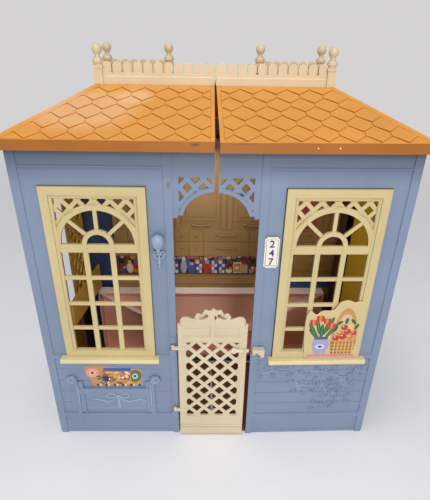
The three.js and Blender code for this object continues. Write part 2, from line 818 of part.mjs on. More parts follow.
function porchLamp() {
  const globe = new THREE.SphereGeometry(lampRadius, 14, 10);
  globe.translate(lampX, -lampReach, lampHeight);
  const cup = new THREE.CylinderGeometry(lampRadius * 0.9, lampRadius * 0.45, 4, 16);
  cup.rotateX(Math.PI / 2);
  cup.translate(lampX, -lampReach, lampHeight - lampRadius * 0.85);
  const bottom = lampHeight - lampDrop;
  const edge = [[0, 0], [1.4, 1.2], [1.6, 3.4], [1, 4.6], [2.2, 6.4], [2.2, 9.4], [1.4, 11], [6, 16.4],
    [6, 19.4], [4, 21.4], [2, 21]];
  const rightEdge = edge.map(([x, z]) => [lampX + x, bottom + z]);
  const leftEdge = edge.slice(1).reverse().map(([x, z]) => [lampX - x, bottom + z]);
  const heart = frontPlate(outline([...rightEdge, ...leftEdge]), -2.6, -fit);
  const stem = block(lampX - 2, lampX + 2, -2.6, -fit, bottom + 20, lampHeight - lampRadius);
  const arm = block(lampX - 2, lampX + 2, -lampReach, -1,
    lampHeight - lampRadius - 4, lampHeight - lampRadius);
  return join(solid(globe), solid(cup), heart, stem, arm);
}

function numberPlaque() {
  const shape = new THREE.Shape();
  shape.moveTo(plaqueInner + plaqueScallop, plaqueBottom);
  shape.lineTo(plaqueOuter - plaqueScallop, plaqueBottom);
  shape.absarc(plaqueOuter, plaqueBottom, plaqueScallop, Math.PI, Math.PI / 2, true);
  shape.lineTo(plaqueOuter, plaqueTop - plaqueScallop);
  shape.absarc(plaqueOuter, plaqueTop, plaqueScallop, -Math.PI / 2, -Math.PI, true);
  shape.lineTo(plaqueInner + plaqueScallop, plaqueTop);
  shape.absarc(plaqueInner, plaqueTop, plaqueScallop, 0, -Math.PI / 2, true);
  shape.lineTo(plaqueInner, plaqueBottom + plaqueScallop);
  shape.absarc(plaqueInner, plaqueBottom, plaqueScallop, Math.PI / 2, 0, true);
  const back = -boardRelief - fit;
  return frontPlate(shape, back - plaqueThickness, back, 5);
}

function flowerPanel() {
  const bottom = windowBottom + fit;
  const inner = flowerPanelInner;
  const outer = flowerPanelOuter;
  const high = flowerPanelHigh;
  const low = flowerPanelLow;
  const edge = [[outer - 3, high - 1], [outer - 9, high + 0.6], [outer - 16, high - 0.8],
    [outer - 24, high + 2.4], [outer - 33, high], [outer - 38, low + 7], [outer - 42, low + 1],
    [outer - 56, low], [inner + 12, low - 5.5], [inner + 4, low + 1], [inner, low - 7]];
  const shape = new THREE.Shape();
  shape.moveTo(inner + 4, bottom);
  shape.lineTo(outer, bottom);
  shape.lineTo(outer, high - 4);
  shape.splineThru(edge.map(([x, z]) => new THREE.Vector2(x, z)));
  shape.quadraticCurveTo(inner - 3, (low + bottom) / 2 + 12, inner + 4, bottom);
  const back = -frameProud - fit;
  return frontPlate(shape, back - flowerPanelThickness, back, 5);
}

// Gate with scroll crest, lattice, arms whose pins drop into the sockets, and a sliding bolt

function gateCrest(y0, y1) {
  const shape = new THREE.Shape();
  const half = gateHalfWidth - gatePostWidth + 2;
  const base = gateBoardTop - 2;
  shape.moveTo(-half, base);
  shape.lineTo(half, base);
  shape.quadraticCurveTo(half + 3, base + 9, half - 3, base + 11);
  shape.bezierCurveTo(half - 12, base + 13, half - 16, base + 6, half - 20, base + 9);
  shape.absarc(half - 23, base + 12, 4.6, -0.6, Math.PI * 0.9, false);
  shape.lineTo(half - 29, base + 13);
  shape.absarc(half - 33, base + 17, 5, -0.4, Math.PI * 0.7, false);
  shape.lineTo(0, base + 25);
  shape.lineTo(-half + 37, base + 21);
  shape.absarc(-half + 33, base + 17, 5, Math.PI * 0.3, Math.PI + 0.4, false);
  shape.lineTo(-half + 29, base + 13);
  shape.absarc(-half + 23, base + 12, 4.6, Math.PI * 0.1, Math.PI + 0.6, false);
  shape.bezierCurveTo(-half + 16, base + 6, -half + 12, base + 13, -half + 3, base + 11);
  shape.quadraticCurveTo(-half - 3, base + 9, -half, base);
  const crest = frontPlate(shape, y0, y1, 8);
  const holes = [-1, 1].map((side) => {
    const hole = new THREE.Shape();
    hole.absellipse(side * 11.6, base + 12.4, 6.6, 3.4, 0, Math.PI * 2, false, side * -0.5);
    const curl = facing(2.4, side * 12.6, base + 15.8, y0 - 2, y1 + 2, 10);
    return cut(frontPlate(hole, y0 - 1, y1 + 1, 8), curl);
  });
  return cut(crest, holes);
}

function gateLeaf() {
  const y0 = gateFront;
  const y1 = gateFront + gateThickness;
  const railTop = gateRailBottom + gateRailHeight;
  const within = gateHalfWidth - gatePostWidth;
  const boardEdge = within - gateStile * 0.4;
  const leaf = block(-gateHalfWidth, gateHalfWidth, y0, y1, gateBottom, gateBoardTop - 1);
  const latticeHalf = gateHalfWidth - gateStile;
  const panels = [[y0 - 1, y0 + gateLatticeRecess], [y1 - gateLatticeRecess, y1 + 1]].map(([a, b]) => (
    block(-latticeHalf, latticeHalf, a, b, gateLatticeBottom, gateLatticeTop)));
  const field = { x0: -latticeHalf, x1: latticeHalf, y0: y0 - 2, y1: y1 + 2,
    z0: gateLatticeBottom, z1: gateLatticeTop };
  const holes = latticeHoles(field, 0, gateLatticeTop - gateLatticeDrop,
    gateLatticeWide, gateLatticeTall, gateLatticeBar);
  const shoulders = [-1, 1].map((side) => (
    sideBlock(side, within, gateHalfWidth + 1, y0 - 1, y1 + 1, gateTop, gateBoardTop)));
  const boards = [-1, 1].map((side) => (
    sideBlock(side, gateCentreStile / 2, boardEdge, y0 - 1, y0 + 1, railTop, gateBoardTop + 1)));
  const seams = gateKickHeights.map((z) => (
    block(-gateHalfWidth - 1, gateHalfWidth + 1, y0 - 1, y0 + 0.7, z - gateGroove / 2, z + gateGroove / 2)));
  seams.push(block(-boardEdge, boardEdge, y0 - 1, y0 + 1.6,
    gateSeamHeight - gateGroove / 2, gateSeamHeight + gateGroove / 2));
  const rail = block(-within, within, y0 - gateRailProud, y0 + 1, gateRailBottom, railTop);
  const stile = block(-gateCentreStile / 2, gateCentreStile / 2, y0 - 0.6, y0 + 2,
    railTop, gateBoardTop + 12);
  return join(cut(leaf, panels, holes, shoulders, boards, seams), gateCrest(y0 + 0.4, y1 - 0.6), rail, stile,
    gateArms(), boltStaple());
}

function gateArms() {
  return gateArmHeights.flatMap((z) => {
    const arm = block(gatePivotX, -gateHalfWidth + gateStile, gatePivotY - gateArmWidth / 2, gateFront + 1,
      z, z + gateArmHeight);
    const knuckle = upright(gateArmWidth / 2, gatePivotX, gatePivotY, z, z + gateArmHeight);
    const pin = upright(gatePinRadius, gatePivotX, gatePivotY, z - gatePinLength, z + 1);
    return [arm, knuckle, pin];
  });
}

function stapleLeft() {
  return gateHalfWidth - fit - stapleWidth;
}

function boltStaple() {
  const z0 = boltBottom - fit;
  const z1 = boltBottom + boltHeight + fit;
  const wayFront = gateFront - fit - boltThickness - fit;
  const bridge = block(stapleLeft(), stapleLeft() + stapleWidth, wayFront - stapleWall, gateFront + 1,
    z0 - stapleWall, z1 + stapleWall);
  const way = block(stapleLeft() - 1, stapleLeft() + stapleWidth + 1, wayFront, gateFront, z0, z1);
  return cut(bridge, way);
}

// The thumb piece stays clear of the staple when the bolt is pushed right over
function boltShape() {
  const y1 = gateFront - fit;
  const y0 = y1 - boltThickness;
  const lobeX = stapleLeft() - fit - boltTravel - boltLobe;
  const middle = boltBottom + boltHeight / 2;
  const bar = block(lobeX, boltRight, y0, y1, boltBottom, boltBottom + boltHeight);
  const lobe = facing(boltLobe, lobeX, middle, y0, y1, 20).intersect(
    block(lobeX - boltLobe - 1, lobeX + boltLobe + 1, y0 - 1, y1 + 1,
      middle - boltLobeHeight / 2, middle + boltLobeHeight / 2));
  const grip = block(lobeX - 1.5, lobeX + 1.5, y0 - 1.6, y0 + 0.5, boltBottom, boltBottom + boltHeight);
  return join(bar, lobe, grip);
}

function boltKeeper() {
  const back = -boardRelief - fit;
  const boltBack = gateFront - fit;
  const wayFront = boltBack - boltThickness - fit;
  const front = wayFront - keeperWall;
  const z0 = boltBottom - fit - keeperWall;
  const z1 = boltBottom + boltHeight + fit + keeperWall;
  const housing = block(keeperLeft, keeperRight, front, back, z0, z1);
  const tab = block(keeperRight - keeperTab, keeperRight, front, back, z0 - keeperTabDrop, z0 + 1);
  const way = block(keeperLeft - 1, keeperLeft + keeperDepth, wayFront, back - keeperBack,
    boltBottom - fit, boltBottom + boltHeight + fit);
  const notch = block(keeperStudX() - studRadius - fit, keeperStudX() + studRadius + fit,
    front - 1, back + 1, z0 - 1, boltBottom - fit);
  return cut(join(housing, tab), way, notch);
}

// The fixed back section

function rearShell() {
  const back = block(-halfWidth, halfWidth, houseDepth - wallThickness, houseDepth, 0, wallHeight);
  const floor = block(-halfWidth, halfWidth, rearFront, houseDepth, 0, floorThickness);
  const sides = [-1, 1].map((side) => sideWall(side, rearFront, houseDepth, false, true));
  const knuckles = [-1, 1].flatMap((side) => rearHingeKnuckles(side));
  const lugs = panelLugs();
  const out = halfWidth + boardRelief;
  const bands = wallBands().map(([z, height]) => (
    block(-out, out, houseDepth - 1, houseDepth + boardRelief, z, z + height)));
  const boards = [-1, 1].map((side) => sideBlock(side, halfWidth - cornerBoardWidth, out,
    houseDepth - 1, houseDepth + boardRelief, 0, wallHeight));
  const body = join(back, floor, sides, knuckles.map((knuckle) => knuckle.body), lugs.solids, bands, boards);
  return cut(body, knuckles.map((knuckle) => knuckle.bore), lugs.bores);
}

function hingePin(side, z) {
  const axisX = side * hingeAxisX;
  const top = z + 2 * outerKnuckle + 2 * knuckleGap + innerKnuckle;
  const shank = upright(hingePinRadius, axisX, partingDepth, z - 1, top + fit + 1);
  const head = upright(pinHeadRadius, axisX, partingDepth, top + fit, top + fit + pinHeadHeight);
  return join(shank, head);
}

// Fold-down floor panel, upright behind the wings, on two pins at its foot

function panelPivotY() {
  return panelFront + panelThickness / 2;
}

function foldDownFloor() {
  const y0 = panelFront;
  const y1 = panelFront + panelThickness;
  const foot = panelThickness / 2;
  const profile = new THREE.Shape();
  profile.moveTo(y0, panelTop);
  profile.lineTo(y0, panelPivotHeight);
  profile.absarc(panelPivotY(), panelPivotHeight, foot, Math.PI, Math.PI * 2, false);
  profile.lineTo(y1, panelTop);
  const slab = sidePlate(profile, -panelHalfWidth, panelHalfWidth, 10);
  const hollow = block(-panelHalfWidth + panelWall, panelHalfWidth - panelWall, y0 - 1, y1 - panelWall,
    panelPivotHeight + foot, panelTop - panelWall);
  const ribs = [-1, 1].map((side) => frontPlate(sideOutline(side, [
    [0, panelPivotHeight + foot], [panelRib, panelPivotHeight + foot - 1],
    [panelHalfWidth - 1, panelTop - panelRib], [panelHalfWidth - panelRib - 1, panelTop - 1]]), y0, y1 - 1));
  const pins = [-1, 1].map((side) => {
    const [x0, x1] = sided(side, panelHalfWidth - 1, panelHalfWidth + panelPinLength);
    return crosswise(panelPinRadius, x0, x1, panelPivotY(), panelPivotHeight);
  });
  return join(cut(slab, hollow), ribs, pins);
}

function panelLugs() {
  const solids = [-1, 1].map((side) => {
    const [x0, x1] = sided(side, panelHalfWidth + 1.5, panelHalfWidth + panelPinLength + 1);
    const reach = panelThickness / 2;
    return block(x0, x1, panelPivotY() - reach + 2, panelPivotY() + reach, 1, panelPivotHeight + 8);
  });
  const bores = [-1, 1].map((side) => {
    const [x0, x1] = sided(side, panelHalfWidth, panelHalfWidth + panelPinLength + fit);
    return crosswise(panelPinRadius + pinClearance, x0, x1, panelPivotY(), panelPivotHeight);
  });
  return { solids, bores };
}

// Kitchen relief and its boards

function kitchenUnits() {
  const back = houseDepth - wallThickness - fit;
  const panelBack = kitchenFront + cabinetRelief;
  const parts = [
    block(kitchenLeft, kitchenRight, panelBack, back, cabinetBottom, cabinetTop),
    block(kitchenLeft, kitchenRight, kitchenFront - 1, back, counterTop - counterThickness, counterTop),
    block(kitchenLeft, kitchenRight, panelBack, back, floorThickness + fit, counterTop - 1),
    block(kitchenLeft, kitchenRight, back - 2, back, counterTop - 1, cabinetBottom + 1)];
  const front = (x0, x1, z0, z1) => block(x0 + cabinetGap, x1 - cabinetGap, kitchenFront, panelBack + 1,
    z0 + cabinetGap, z1 - cabinetGap);
  const doorsBottom = cabinetBottom + 2 * drawerRow;
  const unit = (kitchenRight - kitchenLeft) / kitchenUnitCount;
  for (let index = 0; index < kitchenUnitCount; index += 1) {
    const x0 = kitchenLeft + index * unit;
    const x1 = x0 + unit;
    const narrow = x0 + unit * narrowShare;
    for (const row of [0, 1]) {
      const z = cabinetBottom + row * drawerRow;
      const knobHeight = z + 0.6 * drawerRow;
      for (const [a, b] of [[x0, (x0 + narrow) / 2], [(x0 + narrow) / 2, narrow]]) {
        parts.push(front(a, b, z, z + drawerRow));
        parts.push(facing(knobRadius, (a + b) / 2, knobHeight, kitchenFront - 2.4, kitchenFront + 0.5, 8));
      }
      parts.push(front(narrow, x1, z, z + drawerRow));
      const middle = (narrow + x1) / 2;
      parts.push(block(middle - barHandle / 2, middle + barHandle / 2, kitchenFront - 2, kitchenFront + 0.5,
        knobHeight - 1.3, knobHeight + 1.3));
    }
    for (const [a, b] of [[x0, narrow], [narrow, (narrow + x1) / 2], [(narrow + x1) / 2, x1]]) {
      parts.push(front(a, b, doorsBottom, cabinetTop));
      parts.push(block(a + 7, b - 7, kitchenFront - 0.9, kitchenFront + 0.5,
        doorsBottom + 8, cabinetTop - 8));
      parts.push(front(a, b, floorThickness + 14, counterTop - counterThickness));
    }
  }
  return join(parts);
}

function backsplash() {
  const back = houseDepth - wallThickness - fit - 2 - fit;
  return block(kitchenLeft + 1, kitchenRight - 1, back - 1, back, counterTop + fit, cabinetBottom - fit);
}

function wallBoard() {
  const back = houseDepth - wallThickness - fit;
  return block(-innerHalfWidth + fit, kitchenLeft - fit, back - 4, back,
    floorThickness + fit, wallHeight - 4);
}

function trellisPanel() {
  const z0 = windowBottom + windowFlangeRim;
  const inner = -trellisX + trellisThickness / 2;
  const outer = -trellisX - trellisThickness / 2;
  const plate = block(outer, inner, trellisFront, trellisRear, z0, trellisTop);
  const field = { x0: -trellisRear + trellisRim / 2, x1: -trellisFront - trellisRim,
    y0: outer - 1, y1: inner + 1, z0: z0 + trellisRim, z1: trellisTop - trellisRim };
  const holes = latticeHoles(field, field.x0, field.z0, sideLatticePitch, sideLatticePitch, latticeBar)
    .rotate([0, 0, -90]);
  const flangeEnd = -innerHalfWidth + fit;
  const flanges = [[z0, z0 + 2.4], [trellisTop - 2.4, trellisTop]].map(([a, b]) => (
    block(flangeEnd, inner, trellisFront, trellisRear, a, b)));
  return join(cut(plate, holes), flanges);
}

function handrail() {
  const y0 = wallThickness + 2;
  const y1 = trellisRear;
  const drawing = outline([[y0, handrailFrontTop - handrailDepth], [y1, handrailRearTop - handrailDepth - 6],
    [y1, handrailRearTop], [y0, handrailFrontTop]]);
  const board = sidePlate(drawing, -handrailX - handrailThickness / 2, -handrailX + handrailThickness / 2);
  const reach = -trellisX + trellisThickness / 2 + fit;
  const brackets = [trellisFront + 12, trellisRear - 12].map((y) => (
    block(reach, -handrailX, y - 3, y + 3, handrailRearTop - 24, handrailRearTop - 16)));
  return join(board, brackets);
}

function yellowPanel() {
  return block(innerHalfWidth - fit - 2, innerHalfWidth - fit, wallThickness + fit, wingRear - 1,
    wingFloorThickness + fit, wallHeight - 6);
}

// Assembly

// A group turned about an upright axis through (x, y)
function turnedGroup(x, y, degrees) {
  const outer = new THREE.Group();
  outer.position.set(x, y, 0);
  outer.rotation.z = THREE.MathUtils.degToRad(degrees);
  const inner = new THREE.Group();
  inner.position.set(-x, -y, 0);
  outer.add(inner);
  return { outer, inner };
}

const house = new THREE.Group();
const leftWing = turnedGroup(-hingeAxisX, partingDepth, -leftAjar);
const rightWing = turnedGroup(hingeAxisX, partingDepth, rightAjar);
house.add(leftWing.outer, rightWing.outer);

house.add(named('rear_shell', rearShell(), blue));
house.add(named('rear_roof', rearRoof(), orange));
house.add(named('rear_left_railing', rearRailing(-1), cream));
house.add(named('rear_right_railing', rearRailing(1), cream));
house.add(named('kitchen_cabinets', kitchenUnits(), tan));
house.add(named('backsplash_card', backsplash(), printed));
house.add(named('rear_wall_board', wallBoard(), navy));
house.add(named('fold_down_floor', foldDownFloor(), pink));
for (const side of [-1, 1]) {
  const word = side < 0 ? 'left' : 'right';
  house.add(named(`${word}_lower_hinge_pin`, hingePin(side, hingeHeights[0]), glossBlue));
  house.add(named(`${word}_upper_hinge_pin`, hingePin(side, hingeHeights[1]), glossBlue));
  const wing = side < 0 ? leftWing.inner : rightWing.inner;
  wing.add(named(`${word}_wing_shell`, wingShell(side), blue));
  wing.add(named(`${word}_wing_floor`, wingFloor(side), brown));
  wing.add(named(`${word}_wing_roof`, wingRoof(side), orange));
  wing.add(named(`${word}_front_railing`, frontRailing(side), cream));
  wing.add(named(`${word}_window_frame`, windowInsert(side), butter));
  wing.add(named(`${word}_window_sill`, windowSill(side), butter));
}
leftWing.inner.add(named('porch_lamp', porchLamp(), glossBlue));
leftWing.inner.add(named('side_trellis', trellisPanel(), ochre));
leftWing.inner.add(named('stair_handrail', handrail(), ochre));
leftWing.inner.add(named('gate', gateLeaf(), cream));
leftWing.inner.add(named('gate_bolt', boltShape(), cream));
rightWing.inner.add(named('bolt_keeper', boltKeeper(), cream));
rightWing.inner.add(named('number_plaque', numberPlaque(), cream));
rightWing.inner.add(named('flower_panel', flowerPanel(), butter));
rightWing.inner.add(named('side_wall_panel', yellowPanel(), yellow));

// The origin is under the middle of the whole house
house.updateMatrixWorld(true);
const extent = new THREE.Box3().setFromObject(house);
house.position.set(-(extent.min.x + extent.max.x) / 2, -(extent.min.y + extent.max.y) / 2, 0);

const group = new THREE.Group();
group.add(house);
export default group;
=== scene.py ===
import json
import math
import random

import bmesh
import bpy
from mathutils import Matrix, Vector

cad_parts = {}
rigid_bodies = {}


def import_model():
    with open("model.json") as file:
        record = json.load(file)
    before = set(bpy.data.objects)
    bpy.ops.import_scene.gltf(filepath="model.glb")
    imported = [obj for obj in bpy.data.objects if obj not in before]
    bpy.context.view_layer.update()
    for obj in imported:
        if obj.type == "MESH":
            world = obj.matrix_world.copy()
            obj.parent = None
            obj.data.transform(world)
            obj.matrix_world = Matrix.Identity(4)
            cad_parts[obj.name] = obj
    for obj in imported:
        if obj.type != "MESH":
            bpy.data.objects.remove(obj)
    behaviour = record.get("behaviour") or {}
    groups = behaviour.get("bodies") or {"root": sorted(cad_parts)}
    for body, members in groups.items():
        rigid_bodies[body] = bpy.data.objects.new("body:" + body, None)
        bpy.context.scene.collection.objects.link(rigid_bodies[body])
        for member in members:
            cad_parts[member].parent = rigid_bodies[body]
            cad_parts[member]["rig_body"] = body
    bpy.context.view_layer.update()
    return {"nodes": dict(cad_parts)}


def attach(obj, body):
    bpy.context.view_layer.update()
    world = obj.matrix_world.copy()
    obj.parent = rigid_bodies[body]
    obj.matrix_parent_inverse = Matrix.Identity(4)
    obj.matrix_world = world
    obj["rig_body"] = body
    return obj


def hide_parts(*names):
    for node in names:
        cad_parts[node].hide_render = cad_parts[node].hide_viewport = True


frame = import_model()
print("frame loaded:", len(frame["nodes"]), "nodes")

mm = 0.001


def shiftBy(x, y, z):
    return Matrix.Translation(Vector((x, y, z)) * mm)


def spin(degrees, axis="Z"):
    return Matrix.Rotation(math.radians(degrees), 4, axis)


# Places are written in millimetres from the middle of the doorway's face, x right, y back, z up.
# The two wings stand a little ajar, so a piece on a wing is turned with it.
house = {
    "shift": (-1.1051, -92.4914, 0.0),
    "hingeX": 231.0,
    "hingeY": 154.0,
    "leftAjar": -0.32,
    "rightAjar": 1.12,
}


def houseTurn(side):
    shift = shiftBy(*house["shift"])
    if side == 0:
        return shift
    hinge = (side * house["hingeX"], house["hingeY"], 0.0)
    turn = spin(house["leftAjar"] if side < 0 else house["rightAjar"])
    return shift @ shiftBy(*hinge) @ turn @ shiftBy(*hinge).inverted()

bodySide = {
    "rear_house": 0, "fold_down_floor": 0,
    "left_wing": -1, "gate": -1, "gate_bolt": -1,
    "right_wing": 1,
}

# Small helpers for modelling

def only(piece):
    bpy.ops.object.select_all(action="DESELECT")
    piece.select_set(True)
    bpy.context.view_layer.objects.active = piece
    return piece


def added(name, operator, **settings):
    bpy.ops.object.select_all(action="DESELECT")
    operator(**settings)
    piece = bpy.context.active_object
    piece.name = name
    bpy.ops.object.transform_apply(location=True, rotation=True, scale=True)
    return piece


def editing(piece, mode="FACE"):
    only(piece)
    bpy.ops.object.mode_set(mode="EDIT")
    bpy.ops.mesh.select_mode(type=mode)
    bpy.ops.mesh.select_all(action="SELECT")


def doneEditing():
    bpy.ops.object.mode_set(mode="OBJECT")


def outward(piece):
    editing(piece)
    bpy.ops.mesh.normals_make_consistent(inside=False)
    doneEditing()
    return piece


def extruded(rise):
    bpy.ops.mesh.extrude_region_move(TRANSFORM_OT_translate={"value": (0, 0, rise), "orient_type": "GLOBAL"})

def applyModifier(piece, kind, **settings):
    only(piece)
    modifier = piece.modifiers.new("step", kind)
    for name, value in settings.items():
        setattr(modifier, name, value)
    bpy.ops.object.modifier_apply(modifier=modifier.name)


def roundEdges(piece, width, segments=2, angle=32, edgeHighlightSlot=-1, clamp=True, crease=20):
    applyModifier(
        piece, "BEVEL", width=width * mm, segments=segments, limit_method="ANGLE",
        angle_limit=math.radians(angle), use_clamp_overlap=clamp, material=edgeHighlightSlot)
    return smooth(piece, crease)


def smooth(piece, angle):
    only(piece)
    bpy.ops.object.shade_smooth_by_angle(angle=math.radians(angle))
    return piece


def setSlots(piece, *names):
    piece.data.materials.clear()
    for name in names:
        piece.data.materials.append(finish[name])
    return piece


def settle(piece, body, nodes=()):
    only(piece)
    bpy.ops.object.transform_apply(location=True, rotation=True, scale=True)
    piece.data.transform(houseTurn(bodySide[body]))
    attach(piece, body)
    if nodes:
        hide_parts(*nodes)
    return piece


def joined(name, pieces):
    pieces = list(pieces)
    bpy.ops.object.select_all(action="DESELECT")
    for piece in pieces:
        piece.select_set(True)
    bpy.context.view_layer.objects.active = pieces[0]
    if len(pieces) > 1:
        bpy.ops.object.join()
    whole = bpy.context.view_layer.objects.active
    whole.name = name
    whole.data.name = name
    return whole


def copyOf(piece, name, move):
    twin = piece.copy()
    twin.data = piece.data.copy()
    twin.name = name
    bpy.context.scene.collection.objects.link(twin)
    twin.data.transform(move)
    return twin


def moved(piece, x, y, z):
    piece.data.transform(shiftBy(x, y, z))
    return piece


def block(name, x0, x1, y0, y1, z0, z1, rounding=0.0):
    centre = Vector(((x0 + x1) / 2, (y0 + y1) / 2, (z0 + z1) / 2)) * mm
    size = (abs(x1 - x0) * mm, abs(y1 - y0) * mm, abs(z1 - z0) * mm)
    piece = added(name, bpy.ops.mesh.primitive_cube_add, size=1, location=centre, scale=size)
    return roundEdges(piece, rounding) if rounding else piece


def plateOf(name, points, z0, z1, crown=1.0):
    # a flat plate over an outline of (x, y) points; crown below 1 draws its top in
    piece = added(name, bpy.ops.mesh.primitive_circle_add, vertices=len(points), radius=mm, fill_type="NGON")
    for vertex, (x, y) in zip(piece.data.vertices, points):
        vertex.co = Vector((x, y, z0)) * mm
    middle = sum((vertex.co for vertex in piece.data.vertices), Vector()) / len(points)
    rise = (z1 - z0) * mm
    editing(piece)
    extruded(rise * (0.55 if crown < 1 else 1))
    if crown < 1:
        extruded(rise * 0.45)
        bpy.ops.transform.resize(value=(crown, crown, 1), center_override=(middle.x, middle.y, z1 * mm))
    doneEditing()
    return outward(piece)


def onFront(piece, y):
    # stands a piece made flat on z = 0 up on the front plane at y, its height towards the viewer
    piece.data.transform(shiftBy(0, y, 0) @ spin(90, "X"))
    return piece


def turnedUp(name, x, y, rings, sides=36):
    # rings of (radius, height) from the foot up
    radius, height = rings[0]
    piece = added(name, bpy.ops.mesh.primitive_circle_add, vertices=sides, radius=radius * mm,
                  fill_type="NGON", location=(x * mm, y * mm, height * mm))
    editing(piece)
    for (r0, z0), (r1, z1) in zip(rings, rings[1:]):
        extruded((z1 - z0) * mm)
        bpy.ops.transform.resize(value=(r1 / r0, r1 / r0, 1), center_override=(x * mm, y * mm, z1 * mm))
    doneEditing()
    return smooth(outward(piece), 50)


def throughPoints(points, steps):
    # a smooth line that passes through every point
    line = []
    padded = [points[0], *points, points[-1]]
    for index in range(len(points) - 1):
        a, b, c, d = (Vector(p) for p in padded[index:index + 4])
        for step in range(steps):
            t = step / steps
            line.append(0.5 * ((2 * b) + (c - a) * t + (2 * a - 5 * b + 4 * c - d) * t ** 2
                               + (3 * b - a - 3 * c + d) * t ** 3))
    line.append(Vector(points[-1]))
    return line


def beadAlong(name, points, radius, taper=1.0, sides=3):
    # a round bead along points of (x, y, z); taper is the share of its radius that its ends keep
    curve = bpy.data.curves.new(name, "CURVE")
    curve.dimensions = "3D"
    curve.bevel_depth = radius * mm
    curve.bevel_resolution = sides
    curve.use_fill_caps = True
    spline = curve.splines.new("POLY")
    spline.points.add(len(points) - 1)
    for index, (point, place) in enumerate(zip(spline.points, points)):
        share = abs(2 * index / (len(points) - 1) - 1)
        point.co = (place[0] * mm, place[1] * mm, place[2] * mm, 1)
        point.radius = 1 - (1 - taper) * share ** 2
    drawn = bpy.data.objects.new(name, curve)
    bpy.context.scene.collection.objects.link(drawn)
    only(drawn)
    bpy.ops.object.convert(target="MESH")
    piece = outward(bpy.context.active_object)
    return smooth(piece, 60)


def oval(x, z, wide, tall, turn=0.0, count=20):
    points = []
    for index in range(count):
        angle = 2 * math.pi * index / count
        a, b = wide / 2 * math.cos(angle), tall / 2 * math.sin(angle)
        c, s = math.cos(math.radians(turn)), math.sin(math.radians(turn))
        points.append((x + a * c - b * s, z + a * s + b * c))
    return points


def square(x0, x1, z0, z1):
    return [(x0, z0), (x1, z0), (x1, z1), (x0, z1)]


def arcPoints(x, z, radius, first, last, count):
    angles = [math.radians(first + (last - first) * index / (count - 1)) for index in range(count)]
    return [(x + radius * math.cos(angle), z + radius * math.sin(angle)) for angle in angles]


def spiral(x, z, outer, inner, start, turns, count=28):
    points = []
    for index in range(count):
        share = index / (count - 1)
        angle = math.radians(start + 360 * turns * share)
        radius = outer + (inner - outer) * share
        points.append((x + radius * math.cos(angle), z + radius * math.sin(angle)))
    return points


# Finishes: moulded plastic, each with a slow drift of colour, fine grain and a little handling wear; some add
# painted sheen, painted shade under the eaves or listed spots

plastic = {
    "driftScale": 14.0,
    "stainScale": 47.0,
    "stainColour": (150, 120, 70),
    "stainShare": 0.45,
    "glossScale": 32.0,
    "grainScale": 1400.0,
    "grainDepth": 0.0001,
    "eaveFrom": 0.388,       # heights in metres between which the shade under the roof grows
    "eaveTo": 0.424,
    "eaveDusk": 0.35,
}


def linear(colour):
    return tuple(
        (c / 255 / 12.92 if c <= 10 else ((c / 255 + 0.055) / 1.055) ** 2.4) for c in colour) + (1.0,)


def scaled(colour, share):
    return tuple(min(1.0, c * share) for c in colour[:3]) + (1.0,)


def addNode(tree, kind, inputs, **settings):
    # an input that is another node's output is linked, any other is set
    node = tree.nodes.new("ShaderNode" + kind)
    for name, value in settings.items():
        setattr(node, name, value)
    for key, value in inputs.items():
        if isinstance(value, bpy.types.NodeSocket):
            tree.links.new(value, node.inputs[key])
        else:
            node.inputs[key].default_value = value
    return node


def mixedColours(tree, amount, first, second):
    return addNode(tree, "Mix", {0: amount, 6: first, 7: second}, data_type="RGBA").outputs[2]


def spread(tree, value, low, high, toLow=0.0, toHigh=1.0):
    return addNode(tree, "MapRange", {"Value": value, "From Min": low, "From Max": high,
                                      "To Min": toLow, "To Max": toHigh}).outputs["Result"]


def noiseBetween(tree, place, scale, low, high, detail=3.0, toLow=0.0, toHigh=1.0):
    noise = addNode(tree, "TexNoise", {"Vector": place, "Scale": scale, "Detail": detail})
    return spread(tree, noise.outputs["Fac"], low, high, toLow, toHigh)


def spotMask(tree, place, centre, size, strength):
    # a soft rounded patch about centre, size being its half lengths in millimetres
    nearness = addNode(tree, "Mapping", {"Vector": place, "Location": Vector(centre) * mm,
                                         "Scale": Vector(size) * mm}, vector_type="TEXTURE")
    length = addNode(tree, "VectorMath", {0: nearness.outputs["Vector"]}, operation="LENGTH")
    return spread(tree, length.outputs["Value"], 1.0, 0.55, 0.0, strength)


